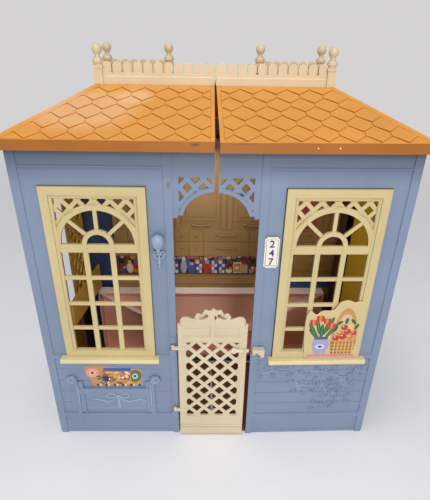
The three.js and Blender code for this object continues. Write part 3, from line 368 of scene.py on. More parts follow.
def mouldedPlastic(name, colour, roughness, drift=0.05, grime=0.12, grain=0.12, spots=(), eave=0.0):
    # spots are (centre, half lengths, colour, strength); eave paints shade on what lies right under the roof,
    # darker towards the top of the walls
    material = bpy.data.materials.new(name)
    material.use_nodes = True
    tree = material.node_tree
    place = addNode(tree, "TexCoord", {}).outputs["Object"]
    base = linear(colour)
    amount = noiseBetween(tree, place, plastic["driftScale"], 0.32, 0.68)
    surface = mixedColours(tree, amount, scaled(base, 1 - drift), scaled(base, 1 + drift))
    share = plastic["stainShare"]
    stain = tuple(a * (1 - share) + b * share for a, b in zip(base, linear(plastic["stainColour"])))
    amount = noiseBetween(tree, place, plastic["stainScale"], 0.60, 0.82, detail=5.0, toHigh=grime)
    surface = mixedColours(tree, amount, surface, stain)
    for centre, size, spotColour, strength in spots:
        amount = spotMask(tree, place, centre, size, strength)
        surface = mixedColours(tree, amount, surface, linear(spotColour))
    # painted shade under the eaves: the colour darkens as the height nears the roof
    if eave:
        height = addNode(tree, "SeparateXYZ", {0: place}).outputs["Z"]
        amount = spread(tree, height, plastic["eaveFrom"], plastic["eaveTo"], 0.0, eave)
        surface = mixedColours(tree, amount, surface, scaled(base, plastic["eaveDusk"]))
    gloss = noiseBetween(tree, place, plastic["glossScale"], 0.3, 0.7, toLow=roughness - 0.06,
                         toHigh=roughness + 0.08)
    fine = addNode(tree, "TexNoise", {"Vector": place, "Scale": plastic["grainScale"], "Detail": 2.0})
    bump = addNode(tree, "Bump", {"Strength": grain, "Distance": plastic["grainDepth"],
                                  "Height": fine.outputs["Fac"]})
    shader = tree.nodes["Principled BSDF"]
    for key, socket in (("Base Color", surface), ("Roughness", gloss), ("Normal", bump.outputs["Normal"])):
        tree.links.new(socket, shader.inputs[key])
    return material


def partPlace(x, y, z):
    # a place of the closed house in the part's own frame
    return (x + house["shift"][0], y + house["shift"][1], z)


# lighter copies of a colour paint highlights on rounded edges and darker copies paint shade on the sides of
# reliefs; the lit and shaded roof sides, the fascia orange, the lit pink top, the ochre of the rail posts and
# the darker kitchen tan are painted light and shade too
palette = {
    "wallBlue": (126, 141, 166),
    "wallBlueEdge": (150, 166, 190),
    "wallBlueSide": (96, 109, 136),
    "wallBlueGapShadow": (58, 58, 62),
    "trimBlue": (150, 168, 194),
    "roofOrange": (228, 156, 64),
    "roofOrangeEdge": (234, 168, 84),
    "roofShade": (168, 96, 20),
    "roofLitSide": (206, 134, 52),
    "roofFasciaShade": (166, 98, 16),
    "railCream": (220, 200, 164),
    "railCreamEdge": (238, 223, 194),
    "railCreamSide": (184, 158, 118),
    "gateCream": (214, 199, 167),
    "gateCreamEdge": (230, 217, 188),
    "gateCreamSide": (166, 144, 112),
    "railOchreShade": (206, 168, 92),
    "windowYellow": (206, 187, 136),
    "windowYellowEdge": (230, 213, 166),
    "windowYellowSide": (156, 136, 92),
    "sillYellow": (224, 208, 160),
    "kitchenTan": (160, 124, 72),
    "kitchenShade": (96, 70, 34),
    "boardNavy": (44, 58, 92),
    "panelPink": (240, 176, 150),
    "panelPinkLitTop": (255, 232, 220),
    "innerOchre": (182, 140, 44),
    "innerYellow": (240, 198, 52),
    "innerBrown": (150, 104, 30),
    "sideMaroon": (92, 52, 42),
    "floorBrown": (112, 66, 44),
    "boardBlue": (52, 70, 122),
    "inkMagenta": (196, 52, 96),
    "cardGround": (62, 46, 52),
    "inkRed": (190, 52, 34),
    "inkOrange": (216, 128, 50),
    "inkYellow": (226, 190, 88),
    "inkCream": (232, 218, 186),
    "inkTan": (196, 142, 84),
    "inkBrown": (120, 74, 44),
    "inkBlue": (66, 90, 150),
    "inkLilac": (164, 160, 196),
    "inkPale": (218, 214, 222),
    "inkGreen": (44, 96, 62),
    "inkLeaf": (92, 138, 78),
    "inkPink": (218, 130, 140),
    "inkDark": (38, 34, 40),
    "inkGrey": (110, 108, 112),
    "digitBlue": (46, 60, 124),
    "plaqueIvory": (238, 232, 214),
}

spotsAndSheen = {
    # darker patches and two small near-white dots on the fascia
    "roofFasciaShade": [
        (partPlace(-21.8, -8.0, 433.6), (6.5, 6.0, 1.8), (112, 66, 32), 0.85),
        (partPlace(27.0, -8.5, 435.2), (25.0, 6.0, 1.0), (130, 76, 38), 0.8),
        (partPlace(106.4, -8.5, 431.4), (1.2, 4.0, 1.2), (250, 236, 214), 0.95),
        (partPlace(129.5, -9.0, 431.5), (1.1, 4.0, 1.1), (250, 236, 214), 0.95),
    ],
    # a grey spot on the wall
    "wallBlue": [(partPlace(-52.0, -1.5, 387.5), (3.2, 4.0, 4.6), (120, 112, 104), 0.85)],
    # painted reflections: pale sheen on the upper left of the left roof
    "roofOrange": [
        (partPlace(-150.0, 52.0, 458.0), (70.0, 62.0, 34.0), (246, 200, 152), 0.5),
        (partPlace(-95.0, 80.0, 468.0), (26.0, 22.0, 20.0), (250, 214, 176), 0.4),
    ],
}

finish = {}
for key, colour in palette.items():
    isInk = key.startswith(("ink", "digit"))
    # the wall blues also get painted shade under the eaves
    finish[key] = mouldedPlastic(key, colour, roughness=0.34 if key.startswith("roof") else 0.42,
                                 grime=0.05 if isInk else 0.12, grain=0.03 if isInk else 0.12,
                                 spots=spotsAndSheen.get(key, ()), eave=0.95 if key.startswith("wallBlue") else 0.0)
print("finishes ready:", len(finish))


# Edges of each moulded piece but the window frames are rounded on a clean copy of its solid

# how far back from the front the sides of a relief are painted in shade
shadedReliefDepth = {"left_wing_shell": 2.4, "right_wing_shell": 2.4, "rear_shell": -400.0}
wall = ("wallBlue", "wallBlueEdge", "wallBlueSide")
roof = ("roofOrange", "roofOrangeEdge")
rail = ("railCream", "railCreamEdge", "railCreamSide")
gateCream = ("gateCream", "gateCreamEdge", "gateCreamSide")
window = ("windowYellow", "windowYellowEdge", "windowYellowSide")
sill = ("sillYellow", "windowYellowEdge")

# each row: slot, finishes, rounding of the edges, and the name of the piece made from each node
plainPieces = [
    ("wall_blue", wall, 0.3, {"rear_shell": "rearHouseWalls"}),
    ("wall_blue", wall, 0.2, {"left_wing_shell": "leftWingWalls", "right_wing_shell": "rightWingWalls"}),
    ("roof_orange", roof, 0.4, {"rear_roof": "rearRoof", "left_wing_roof": "leftRoof",
                                "right_wing_roof": "rightRoof"}),
    ("trim_cream", rail, 0.25, {
        "rear_left_railing": "rearLeftRailing", "rear_right_railing": "rearRightRailing",
        "left_front_railing": "leftFrontRailing", "right_front_railing": "rightFrontRailing"}),
    ("window_yellow", window, 0.0, {"left_window_frame": "leftWindow", "right_window_frame": "rightWindow"}),
    ("window_yellow", sill, 0.6, {"left_window_sill": "leftSill", "right_window_sill": "rightSill"}),
    ("printed_panel", window, 0.3, {"flower_panel": "flowerPanel"}),
    ("printed_plaque", ("plaqueIvory",), 0.25, {"number_plaque": "numberPlaque"}),
    ("trim_cream", gateCream, 0.15, {"gate": "gateLeaf"}),
    ("trim_cream", gateCream, 0.35, {"bolt_keeper": "boltKeeper"}),
    ("printed_card", ("cardGround",), 0.1, {"backsplash_card": "shelfCard"}),
    ("board_navy", ("boardNavy",), 0.4, {"rear_wall_board": "wallBoard"}),
    ("panel_pink", ("panelPink",), 0.4, {"fold_down_floor": "foldDownFloor"}),
    ("floor_brown", ("floorBrown",), 0.3, {"left_wing_floor": "leftFloor", "right_wing_floor": "rightFloor"}),
    ("inner_ochre", ("innerOchre",), 0.3, {"side_trellis": "sideTrellis"}),
    ("inner_ochre", ("innerOchre",), 0.4, {"stair_handrail": "stairHandrail"}),
    ("inner_yellow", ("innerYellow",), 0.3, {"side_wall_panel": "sideWallPanel"}),
    ("trim_blue", ("trimBlue",), 0.2, {
        "left_lower_hinge_pin": "leftLowerPin", "left_upper_hinge_pin": "leftUpperPin",
        "right_lower_hinge_pin": "rightLowerPin", "right_upper_hinge_pin": "rightUpperPin"}),
]


def bodyOf(nodeName):
    return frame["nodes"][nodeName]["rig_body"]


def dress(nodeName, name, colours, rounding):
    # colours are the faces, a lighter colour for the rounded edges as a painted highlight, and a darker
    # colour as painted shade for the faces that lie in the shade of a relief
    piece = bpy.data.objects.new(name, frame["nodes"][nodeName].data.copy())
    bpy.context.scene.collection.objects.link(piece)
    editing(piece, "VERT")
    bpy.ops.mesh.remove_doubles(threshold=0.00001)
    bpy.ops.mesh.dissolve_degenerate(threshold=0.00003)
    doneEditing()
    setSlots(piece, *colours)
    # painted shade: relief faces near the front that face down or sideways take the darker colour
    if len(colours) > 2:
        front = house["shift"][1] + shadedReliefDepth.get(nodeName, 400)
        for polygon in piece.data.polygons:
            normal = polygon.normal
            if polygon.center.y / mm < front and (normal.z < -0.35 or abs(normal.x) > 0.6):
                polygon.material_index = 2
    if rounding:
        # the rounded edges take the lighter colour, a painted highlight
        edgeHighlightSlot = 1 if len(colours) > 1 else -1
        roundEdges(piece, rounding, edgeHighlightSlot=edgeHighlightSlot, clamp=False, crease=8.5)
    else:
        smooth(piece, 8.5)
    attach(piece, bodyOf(nodeName))
    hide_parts(nodeName)
    return piece


dressed = {}
for slot, colours, rounding, nodeNames in plainPieces:
    for nodeName, name in nodeNames.items():
        dressed[nodeName] = dress(nodeName, name, colours, rounding)


# Some faces of the shells have colours of their own, and the top of the folded floor is painted lighter, a
# painted highlight where light falls on it

def recolour(nodeName, colour, test):
    piece = dressed[nodeName]
    piece.data.materials.append(finish[colour])
    index = len(piece.data.materials) - 1
    toHouse = houseTurn(bodySide[bodyOf(nodeName)]).inverted()
    turn = toHouse.to_3x3()
    for polygon in piece.data.polygons:
        if test(toHouse @ polygon.center / mm, turn @ polygon.normal):
            polygon.material_index = index


recolour("rear_shell", "sideMaroon", lambda p, n: 2 < p.z < 432 and (
    (120 < p.y < 200 and abs(p.x) < 226 and (n.y < -0.5 or n.z > 0.5))
    or (156 < p.y < 200 and p.z > 4 and n.x * p.x < -100)))
for wing in ("left_wing_shell", "right_wing_shell"):
    recolour(wing, "innerBrown", lambda p, n: 5 < p.y < 150 and abs(p.x) > 215 and n.x * p.x < -100)
# painted highlight on the upward faces of the folded floor
recolour("fold_down_floor", "panelPinkLitTop", lambda p, n: n.z > 0.6 and p.z > 100)
print("moulded pieces rounded:", len(dressed))


# Roof tiles: pointed scales whose lower tips stand proud of the slope, with smooth strips along the hips

roofShape = {
    "eaveX": 229.5, "eaveFront": -8.0, "eaveRear": 202.0, "eaveTop": 437.0,
    "deckX": 146.0, "deckFront": 110.0, "deckRear": 180.0, "deckTop": 477.6,
    "wingEnd": 153.7, "rearStart": 154.3, "centreEdge": 0.5,
}
tiling = {
    "pitch": 28.2,          # across the slope
    "frontRows": 6,         # half rows from eave to deck
    "sideRows": 6,
    "rearRows": 3,
    "firstTip": 29.0,       # first tip from the centre line
    "shoulder": 0.63,       # height of a tile's side corners, as a share of a half row
    "tipProud": 1.5,        # height of a tip over the slope
    "topProud": 0.25,
    "sink": 0.4,
    "joint": 0.4,           # gap round each tile
    "wideJoint": 0.95,      # gap under a tile's lower left edge
    "strip": 6.0,
    "edgeStrip": 4.6,
    "topStrip": 2.4,
    "stripProud": 1.0,
    "hipBead": 1.3,
}


def slopeFrame(corner, along, up):
    # columns: along the eave, up the slope, out of the slope
    along, up = Vector(along).normalized(), Vector(up).normalized()
    turn = Matrix((along, up, along.cross(up))).transposed().to_4x4()
    return Matrix.Translation(Vector(corner) * mm) @ turn


def oneTile(halfRow):
    t = tiling
    half, gap, wide = t["pitch"] / 2 - t["joint"], t["joint"], t["wideJoint"]
    low, high = halfRow * t["shoulder"], halfRow
    corners = [(0.3, wide * 1.2), (half, low + gap * 0.4), (half, high - gap * 0.2),
               (0, high + low - gap * 0.5), (-half, high - gap * 0.3), (-half, low + wide * 1.2)]
    tile = plateOf("tile", corners, -t["sink"], t["tipProud"])
    for vertex in tile.data.vertices:
        if vertex.co.z > 0:
            share = vertex.co.y / mm / (high + low)
            vertex.co.z = (t["tipProud"] + (t["topProud"] - t["tipProud"]) * share) * mm
    setSlots(tile, "roofOrange", "roofShade", "roofLitSide")
    # painted light on the tile sides: the lower left sides take the dark shade colour, the other sides a lit
    # orange
    for polygon in tile.data.polygons:
        lowerLeft = polygon.normal.x < -0.2 and polygon.normal.y < 0.2
        polygon.material_index = 0 if polygon.normal.z > 0.7 else (1 if lowerLeft else 2)
    roundEdges(tile, 0.3, 2, 50)
    return tile


def cutAway(piece, point, normal):
    # keeps what lies behind the cutting plane
    editing(piece)
    bpy.ops.mesh.bisect(plane_co=Vector(point) * mm, plane_no=normal, use_fill=True, clear_outer=True)
    doneEditing()


def away(start, end, inside, distance):
    # the cutting line from start to end, moved by distance towards the point inside
    run = (Vector(end) - Vector(start)).normalized()
    normal = Vector((run.y, -run.x))
    if normal.dot(Vector(inside) - Vector(start)) > 0:
        normal = -normal
    point = Vector(start) - normal * distance
    return (point.x, point.y, 0), (normal.x, normal.y, 0)


def tiledSlope(name, body, corner, along, up, rows, firstTip, sides):
    # sides are the two side edges: place at the eave, place at the top, width of the smooth strip
    pitch, length = tiling["pitch"], math.hypot(*up)
    (a0, a1, aWide), (b0, b1, bWide) = sides
    edges = [((a0, 0), (a1, length), aWide), ((b0, 0), (b1, length), bWide),
             ((b1, length), (a1, length), tiling["topStrip"]), ((b0, 0), (a0, 0), 0.0)]
    inside = ((a1 + b1) / 2, length / 2)
    low, high = sorted((a0, b0))
    halfRow = length / rows
    tile = oneTile(halfRow)
    copies = []
    for row in range(-1, rows):
        start = firstTip + (0.0 if row % 2 == 0 else pitch / 2)
        for column in range(math.floor((low - start) / pitch), math.ceil((high - start) / pitch) + 1):
            copies.append(copyOf(tile, "tile", shiftBy(start + column * pitch, row * halfRow, 0)))
    bpy.data.objects.remove(tile)
    pieces = [joined("field", copies)]
    for start, end, width in edges:
        cutAway(pieces[0], *away(start, end, inside, width + 0.4))
    for start, end, width in edges:
        if width < 1:
            continue
        margin = (Vector(end) - Vector(start)).normalized() * 60
        inner = -Vector(away(start, end, inside, width)[1][:2]) * width
        a, b = Vector(start) - margin, Vector(end) + margin
        strip = plateOf("strip", [a, b, b + inner, a + inner], -tiling["sink"], tiling["stripProud"])
        setSlots(strip, "roofOrange", "roofShade", "roofLitSide")
        for otherStart, otherEnd, otherWidth in edges:
            if otherStart is not start:
                cutAway(strip, *away(otherStart, otherEnd, inside, 0.1))
        pieces.append(roundEdges(strip, 0.3, 2, 50))
    whole = smooth(joined(name, pieces), 20)
    whole.data.transform(slopeFrame(corner, along, up))
    settle(whole, body)


shape = roofShape
rise = shape["deckTop"] - shape["eaveTop"]
wings = ((-1, "left"), (1, "right"))
hips = [(side * shape["eaveX"], side * shape["deckX"], tiling["strip"]) for side, word in wings]
for (side, word), hip in zip(wings, hips):
    middle = (side * shape["centreEdge"], side * shape["centreEdge"], tiling["edgeStrip"])
    tiledSlope(word + "RoofTiles", word + "_wing", (0, shape["eaveFront"], shape["eaveTop"]), (1, 0, 0),
               (0, shape["deckFront"] - shape["eaveFront"], rise), tiling["frontRows"],
               side * tiling["firstTip"], (hip, middle))
for side, word in wings:
    for body, prefix, end, cut in ((word + "_wing", word, "Front", shape["wingEnd"]),
                                   ("rear_house", word + "Rear", "Rear", shape["rearStart"])):
        # along the eave it runs back on the right and forward on the left
        hip = (side * shape["eave" + end], side * shape["deck" + end], tiling["strip"])
        seam = (side * cut, side * cut, tiling["edgeStrip"] * 0.6)
        tiledSlope(prefix + "SideTiles", body, (side * shape["eaveX"], 0, shape["eaveTop"]), (0, side, 0),
                   (side * (shape["deckX"] - shape["eaveX"]), 0, rise), tiling["sideRows"],
                   side * tiling["firstTip"] / 2, (hip, seam))
        foot = Vector((side * shape["eaveX"], shape["eave" + end], shape["eaveTop"]))
        top = Vector((side * shape["deckX"], shape["deck" + end], shape["deckTop"]))
        inset = (top - foot).normalized() * 1.5
        bead = beadAlong(prefix + "HipBead", [foot + inset, (foot + top) / 2, top - inset],
                         tiling["hipBead"], sides=4)
        settle(setSlots(bead, "roofOrange"), body)
tiledSlope("rearRoofTiles", "rear_house", (0, shape["eaveRear"], shape["eaveTop"]), (-1, 0, 0),
           (0, shape["deckRear"] - shape["eaveRear"], rise), tiling["rearRows"], 0.0, hips)
# painted shade: the upright faces of the roofs, the fascia, take a darker orange
for nodeName in ("rear_roof", "left_wing_roof", "right_wing_roof"):
    base = dressed[nodeName]
    base.data.materials.append(finish["roofFasciaShade"])
    for polygon in base.data.polygons:
        if abs(polygon.normal.z) < 0.5:
            polygon.material_index = 2
print("roof tiles laid")


# Railing finials: domed collar, neck and a ball a little taller than wide

finial = {
    "base": 477.9, "postTop": 22.0, "ballMiddle": 39.5, "ballRadius": 6.05, "ballTall": 6.35, "steps": 14,
    "postX": 142.5, "middleX": 60.8, "frontY": 117.25, "rearY": 173.75, "ochreShadeTo": 19.0,
    "collar": [(4.9, -0.6), (4.9, 1.6), (5.9, 2.2), (6.4, 3.4), (6.4, 4.8), (5.6, 6.4), (4.2, 7.8),
               (3.3, 9.2), (3.1, 10.6), (3.1, 11.4)],
}


def finialAt(x, y):
    f = finial
    rings = [(radius, f["base"] + f["postTop"] + height) for radius, height in f["collar"]]
    start = math.asin(f["collar"][-1][0] / f["ballRadius"])
    for step in range(1, f["steps"] + 1):
        angle = start + (math.pi - 0.05 - start) * step / f["steps"]
        rings.append((f["ballRadius"] * math.sin(angle),
                      f["base"] + f["ballMiddle"] - f["ballTall"] * math.cos(angle)))
    return turnedUp("finial", x, y, rings)


def finialSet(name, body, places):
    whole = joined(name, [finialAt(x, y) for x, y in places])
    settle(setSlots(whole, "railCream"), body)


finialSet("leftFinial", "left_wing", [(-finial["postX"], finial["frontY"])])
finialSet("rightFinial", "right_wing", [(finial["postX"], finial["frontY"])])
rearPlaces = [(side * x, finial["rearY"]) for side in (-1, 1) for x in (finial["postX"], finial["middleX"])]
finialSet("rearFinials", "rear_house", rearPlaces)

# The picket heads are a little lower and wider than in the solids, and the lower part of the rear middle
# posts is painted a darker ochre, painted shade where they stand behind the front pickets

fence = {
    "slotFoot": 13.0, "squat": 0.84, "keyhole": 3.2, "widen": 0.5, "postHalf": 6.3,
    "front": (0.25, 12.545),     # first picket's edge and the pitch
    "rear": (65.05, 12.2),
}
for nodeName in ("rear_left_railing", "rear_right_railing", "left_front_railing", "right_front_railing"):
    railing = dressed[nodeName]
    isRear = nodeName.startswith("rear")
    start, pitch = fence["rear" if isRear else "front"]
    toHouse = houseTurn(bodySide[bodyOf(nodeName)]).inverted()
    for vertex in railing.data.vertices:
        place = toHouse @ vertex.co / mm
        height = place.z - finial["base"] - fence["slotFoot"]
        x = abs(place.x)
        onPost = (abs(x - finial["postX"]) < fence["postHalf"]
                  or (isRear and abs(x - finial["middleX"]) < fence["postHalf"]))
        if height <= 0 or onPost:
            continue
        if height > fence["keyhole"]:
            middle = start + (math.floor((x - start) / pitch) + 0.5) * pitch
            place.x += math.copysign(fence["widen"], place.x) * (x - middle) / (pitch / 2)
        place.z += height * (fence["squat"] - 1)
        vertex.co = toHouse.inverted() @ (place * mm)
    if isRear:
        # painted shade on the lower part of the middle posts
        railing.data.materials.append(finish["railOchreShade"])
        for polygon in railing.data.polygons:
            x = abs(polygon.center.x / mm - house["shift"][0])
            z = polygon.center.z / mm - finial["base"]
            if abs(x - finial["middleX"]) < 6.4 and z < finial["ochreShadeTo"]:
                polygon.material_index = 2
print("railings finished")


# Painted shadow: dark strips in the gaps between the window frames and the wall, along the top and both sides

windowGapShadow = {"wide": 0.75, "proud": 0.25, "tuck": 0.4}
for word, side in (("left", -1), ("right", 1)):
    toHouse = houseTurn(side).inverted()
    places = [toHouse @ vertex.co / mm for vertex in dressed[word + "_window_frame"].data.vertices]
    x0, x1 = min(p.x for p in places), max(p.x for p in places)
    z0, z1 = min(p.z for p in places), max(p.z for p in places)
    wide, tuck, y0, y1 = windowGapShadow["wide"], windowGapShadow["tuck"], -windowGapShadow["proud"], 0.6
    gapShadowLines = joined(word + "WindowGap", [
        block("gapShadowLine", x0 - wide, x1 + wide, y0, y1, z1 - tuck, z1 + wide),
        block("gapShadowLine", x0 - wide, x0 + tuck, y0, y1, z0, z1 + 0.2),
        block("gapShadowLine", x1 - tuck, x1 + wide * 0.6, y0, y1, z0, z1 + 0.2)])
    settle(setSlots(gapShadowLines, "wallBlueGapShadow"), word + "_wing")


# Porch lamp: globe in a leaf cup on a heart-shaped scroll

lamp = {
    "x": -65.0, "z": 322.8, "reach": 8.4, "radius": 7.65,
    "cup": [(1.6, 308.0), (2.4, 308.8), (2.3, 310.4), (3.0, 312.0), (4.8, 314.2), (6.4, 316.6), (7.3, 319.2),
            (7.5, 320.6), (6.6, 320.4), (5.6, 318.0)],
    "leaves": 7, "leafTall": 1.5, "leafFoot": 318.5, "scrollBead": 1.15, "scrollY": -2.2,
    "scroll": [(0, 294.8), (3.2, 297.2), (5.9, 300.6), (6.3, 303.4), (4.6, 305.6), (2.4, 305.0), (1.8, 302.8),
               (3.3, 301.6), (4.2, 302.9)],
    "knob": [(0.6, 288.6), (1.9, 289.4), (2.5, 290.8), (2.5, 292.0), (1.9, 293.2), (1.1, 294.2)],
    "drop": [(0.3, 283.9), (1.2, 284.4), (1.7, 285.4), (1.7, 286.4), (1.1, 287.6), (0.9, 288.8)],
}


def porchLamp():
    p = lamp
    x, y, reach = p["x"], p["scrollY"], p["reach"]
    globe = added("globe", bpy.ops.mesh.primitive_uv_sphere_add, segments=40, ring_count=24,
                  radius=p["radius"] * mm, location=(x * mm, -reach * mm, p["z"] * mm))
    cup = turnedUp("cup", x, -reach, p["cup"], 42)
    for vertex in cup.data.vertices:
        height = vertex.co.z / mm - p["leafFoot"]
        if height > 0:
            angle = math.atan2(vertex.co.y / mm + reach, vertex.co.x / mm - x)
            vertex.co.z += p["leafTall"] * math.cos(p["leaves"] * angle) * mm * min(1.0, height / 2)
    pieces = [smooth(globe, 60), cup]
    for side in (-1, 1):
        line = throughPoints([(x + side * a, y, z) for a, z in p["scroll"]], 4)
        pieces.append(beadAlong("scroll", line, p["scrollBead"]))
    stem = throughPoints([(x, y, 290), (x, y, 300), (x, y - 0.6, 305), (x, -5.4, 306.4),
                          (x, -reach, 308.6)], 5)
    pieces += [beadAlong("stem", stem, 1.5),
               turnedUp("knob", x, y, p["knob"], 20),
               turnedUp("drop", x, y, p["drop"], 20),
               block("backPlate", x - 1.6, x + 1.6, -1.2, -0.3, 285, 306, 0.3)]
    settle(setSlots(joined("porchLamp", pieces), "trimBlue"), "left_wing", ["porch_lamp"])


porchLamp()
print("lamp finished")


# Number plaque: a raised rim and three plain digits, one above the other

plaque = {
    "x": 64.25, "middle": 306.5, "front": -3.0, "step": 11.6, "size": 12.5, "digits": ("2", "4", "7"),
    "rimWide": 6.85, "rimBottom": 289.4, "rimTop": 323.6,
}


def digitPiece(digit, x, z, y):
    bpy.ops.object.select_all(action="DESELECT")
    bpy.ops.object.text_add(location=(0, 0, 0))
    drawn = bpy.context.active_object.data
    drawn.body = digit
    drawn.size = plaque["size"] * mm
    drawn.align_x = "CENTER"
    drawn.align_y = "CENTER"
    drawn.extrude = 0.1 * mm
    drawn.offset = 0.25 * mm
    bpy.ops.object.convert(target="MESH")
    piece = bpy.context.active_object
    middle = sum((Vector(corner) for corner in piece.bound_box), Vector()) / 8
    piece.data.transform(Matrix.Translation(-middle))
    editing(piece, "VERT")
    bpy.ops.mesh.remove_doubles(threshold=0.00001)
    doneEditing()
    return moved(onFront(outward(piece), 0), x, y, z)


digits = []
for index, digit in enumerate(plaque["digits"]):
    height = plaque["middle"] + (1 - index) * plaque["step"]
    digits.append(digitPiece(digit, plaque["x"], height, plaque["front"] - 0.08))
settle(setSlots(joined("plaqueDigits", digits), "digitBlue"), "right_wing")
rimLeft, rimRight = plaque["x"] - plaque["rimWide"], plaque["x"] + plaque["rimWide"]
corners = [(rimLeft, plaque["rimBottom"]), (rimLeft, plaque["rimTop"]), (rimRight, plaque["rimTop"]),
           (rimRight, plaque["rimBottom"]), (rimLeft, plaque["rimBottom"])]
rim = beadAlong("plaqueRim", [(x, plaque["front"], z) for x, z in corners], 0.32, sides=1)
settle(setSlots(rim, "digitBlue"), "right_wing")
print("plaque finished")


# Prints: thin patches of ink laid over each other, each a plate of its own

def printedSheet(name, body, y, shapes):
    # shapes are (outline, ink, level); a higher level lies on top
    plates = [setSlots(onFront(plateOf("patch", points, 0, 0.12 + 0.07 * level), y), "ink" + ink.title())
              for points, ink, level in shapes]
    settle(joined(name, plates), body)


def benchPrint():
    draw = random.Random(11)
    inks = ("red", "orange", "yellow", "cream", "dark", "grey", "green", "blue",
            "pink", "tan", "leaf", "brown")
    shapes = [([(-177, 127), (-150, 128), (-128, 125), (-97, 122), (-98, 95), (-166, 92)], "tan", 0),
              (square(-150, -112, 119, 124.6), "blue", 1),
              (oval(-146, 106, 22, 15, -12, 16), "grey", 1),
              (oval(-146, 105, 15, 9, -12, 14), "dark", 2),
              (oval(-125, 108, 24, 12, 10, 16), "orange", 1),
              (oval(-124, 109, 16, 7, 10, 14), "cream", 2)]
    # cushions at both ends, a striped blanket between them and a fringe below
    for index, ink in enumerate(("pink", "yellow", "pink", "cream", "red")):
        shapes.append((oval(-165.5, 116, 20 - index * 3.6, 19 - index * 3.4, 35, 14), ink, 1 + index))
    for index, ink in enumerate(("green", "leaf", "green", "cream", "blue")):
        shapes.append((oval(-107.0, 110, 18 - index * 3.3, 22 - index * 4.0, -20, 14), ink, 1 + index))
    for column in range(11):
        for row in range(4):
            x = -157 + column * 4.4 + draw.uniform(-1.0, 1.0)
            z = 98 + row * 6.2 + draw.uniform(-1.0, 1.0)
            patch = oval(x, z, draw.uniform(3.0, 7.5), draw.uniform(1.6, 3.2), draw.uniform(0, 180), 10)
            shapes.append((patch, draw.choice(inks), 3 + (row + column) % 3))
    for index, ink in enumerate(("orange", "yellow", "orange", "cream")):
        shapes.append((oval(-140 + index * 7.5, 112 + (index % 2) * 4, 9, 4.2, 30 - index * 22, 12), ink, 6))
    for index in range(17):
        x = -165 + index * 3.9
        shapes.append((square(x, x + 2.2, 91.4, 95.6), ("orange", "dark", "cream")[index % 3], 2))
    printedSheet("benchPicture", "left_wing", -0.05, shapes)


def tulip(x, z, size, ink):
    return [(oval(x - 0.26 * size, z, 0.5 * size, size, 14, 12), ink, 4),
            (oval(x + 0.26 * size, z, 0.5 * size, size, -14, 12), ink, 4),
            (oval(x, z + 0.08 * size, 0.4 * size, size, 0, 12), "orange", 5)]


def panelPrint():
    # a vase of tulips on a cloth, left of a basket of fruit with a tall handle
    shapes = [(square(122, 187, 151, 154.4), "pink", 1),
              ([(131, 155), (146, 155), (150, 172), (147, 183), (130, 183), (127, 172)], "lilac", 3),
              (square(129.6, 147.4, 180, 184), "blue", 4),
              (oval(138.5, 168, 12, 8), "pale", 4),
              (oval(138.5, 168, 6, 4), "blue", 5),
              ([(155, 155), (182, 155), (186, 178), (151, 178)], "tan", 3)]
    for x, z, turn in ((126, 196, 28), (133, 200, 12), (144, 199, -14), (151, 193, -34), (138, 193, 0),
                       (148, 204, -18), (129, 188, 40)):
        shapes.append((oval(x, z, 5.2, 24, turn, 14), "green", 2))
        shapes.append((oval(x, z, 1.4, 18, turn, 8), "leaf", 3))
    for x, z in ((126, 207), (134, 213), (143, 209), (150, 201)):
        shapes += tulip(x, z, 9.5, "red")
    for row in range(4):
        z = 157 + row * 5.4
        shapes.append((square(153.6 - row * 0.6, 183.4 + row * 0.6, z, z + 1.5), "brown", 4))
    for column in range(6):
        x = 157 + column * 4.9
        shapes.append((square(x, x + 1.3, 156, 177), "yellow", 5))
    handle = arcPoints(168.5, 178, 16.5, 0, 180, 17) + arcPoints(168.5, 178, 13.6, 180, 0, 17)
    shapes.append(([(x, 178 + (z - 178) * 3.1) for x, z in handle], "tan", 1))
    for x, z, size, ink in ((158, 182, 9, "red"), (167, 184, 10, "red"), (176.5, 183, 9.5, "orange"),
                            (162.5, 190, 9, "orange"), (172, 192, 9.5, "red"), (167, 199, 9, "red"),
                            (175, 200, 7.5, "yellow"), (181, 190, 7.5, "red")):
        shapes += [(oval(x, z, size, size * 0.94), ink, 3),
                   (oval(x - size * 0.18, z + size * 0.2, size * 0.28, size * 0.2), "cream", 4)]
    for x, z, turn in ((160, 206, 40), (169, 209, 80), (178, 208, 130), (183, 200, 60), (156, 197, 70)):
        shapes.append((oval(x, z, 10, 4.2, turn, 12), "green", 2))
    printedSheet("panelPicture", "right_wing", -5.92, shapes)


def shelfThing(draw, kind, x, wide, tall, ink, second):
    # a jar, box or bowl on the shelf at height 166, or a patch of checks
    middle = x + wide / 2
    if kind == "jar":
        return [(oval(middle, 166 + tall * 0.42, wide, tall * 0.9, 0, 14), ink, 2),
                (square(x + wide * 0.25, x + wide * 0.75, 166 + tall * 0.8, 168 + tall), second, 3)]
    if kind == "box":
        return [(square(x, x + wide, 166, 166 + tall), ink, 2),
                (square(x + 1.2, x + wide - 1.2, 168.4, 163 + tall), second, 3),
                (oval(middle, 165.5 + tall / 2, wide * 0.5, tall * 0.32, 0, 12), ink, 4)]
    if kind == "bowl":
        return [([(x + 2, 166), (x + wide - 2, 166), (x + wide, 173), (x, 173)], ink, 2),
                (oval(x + wide * 0.3, 175, 5, 5, 0, 10), "red", 2),
                (oval(x + wide * 0.7, 176, 5, 5, 0, 10), second, 3)]
    checks = []
    for column in range(2):
        for row in range(4):
            check = "pale" if (row + column) % 2 else draw.choice(("lilac", "blue"))
            x0, z0 = x + column * 5, 166 + row * 6
            checks.append((square(x0, x0 + 4.5, z0, z0 + 5.4), check, 1))
    return checks


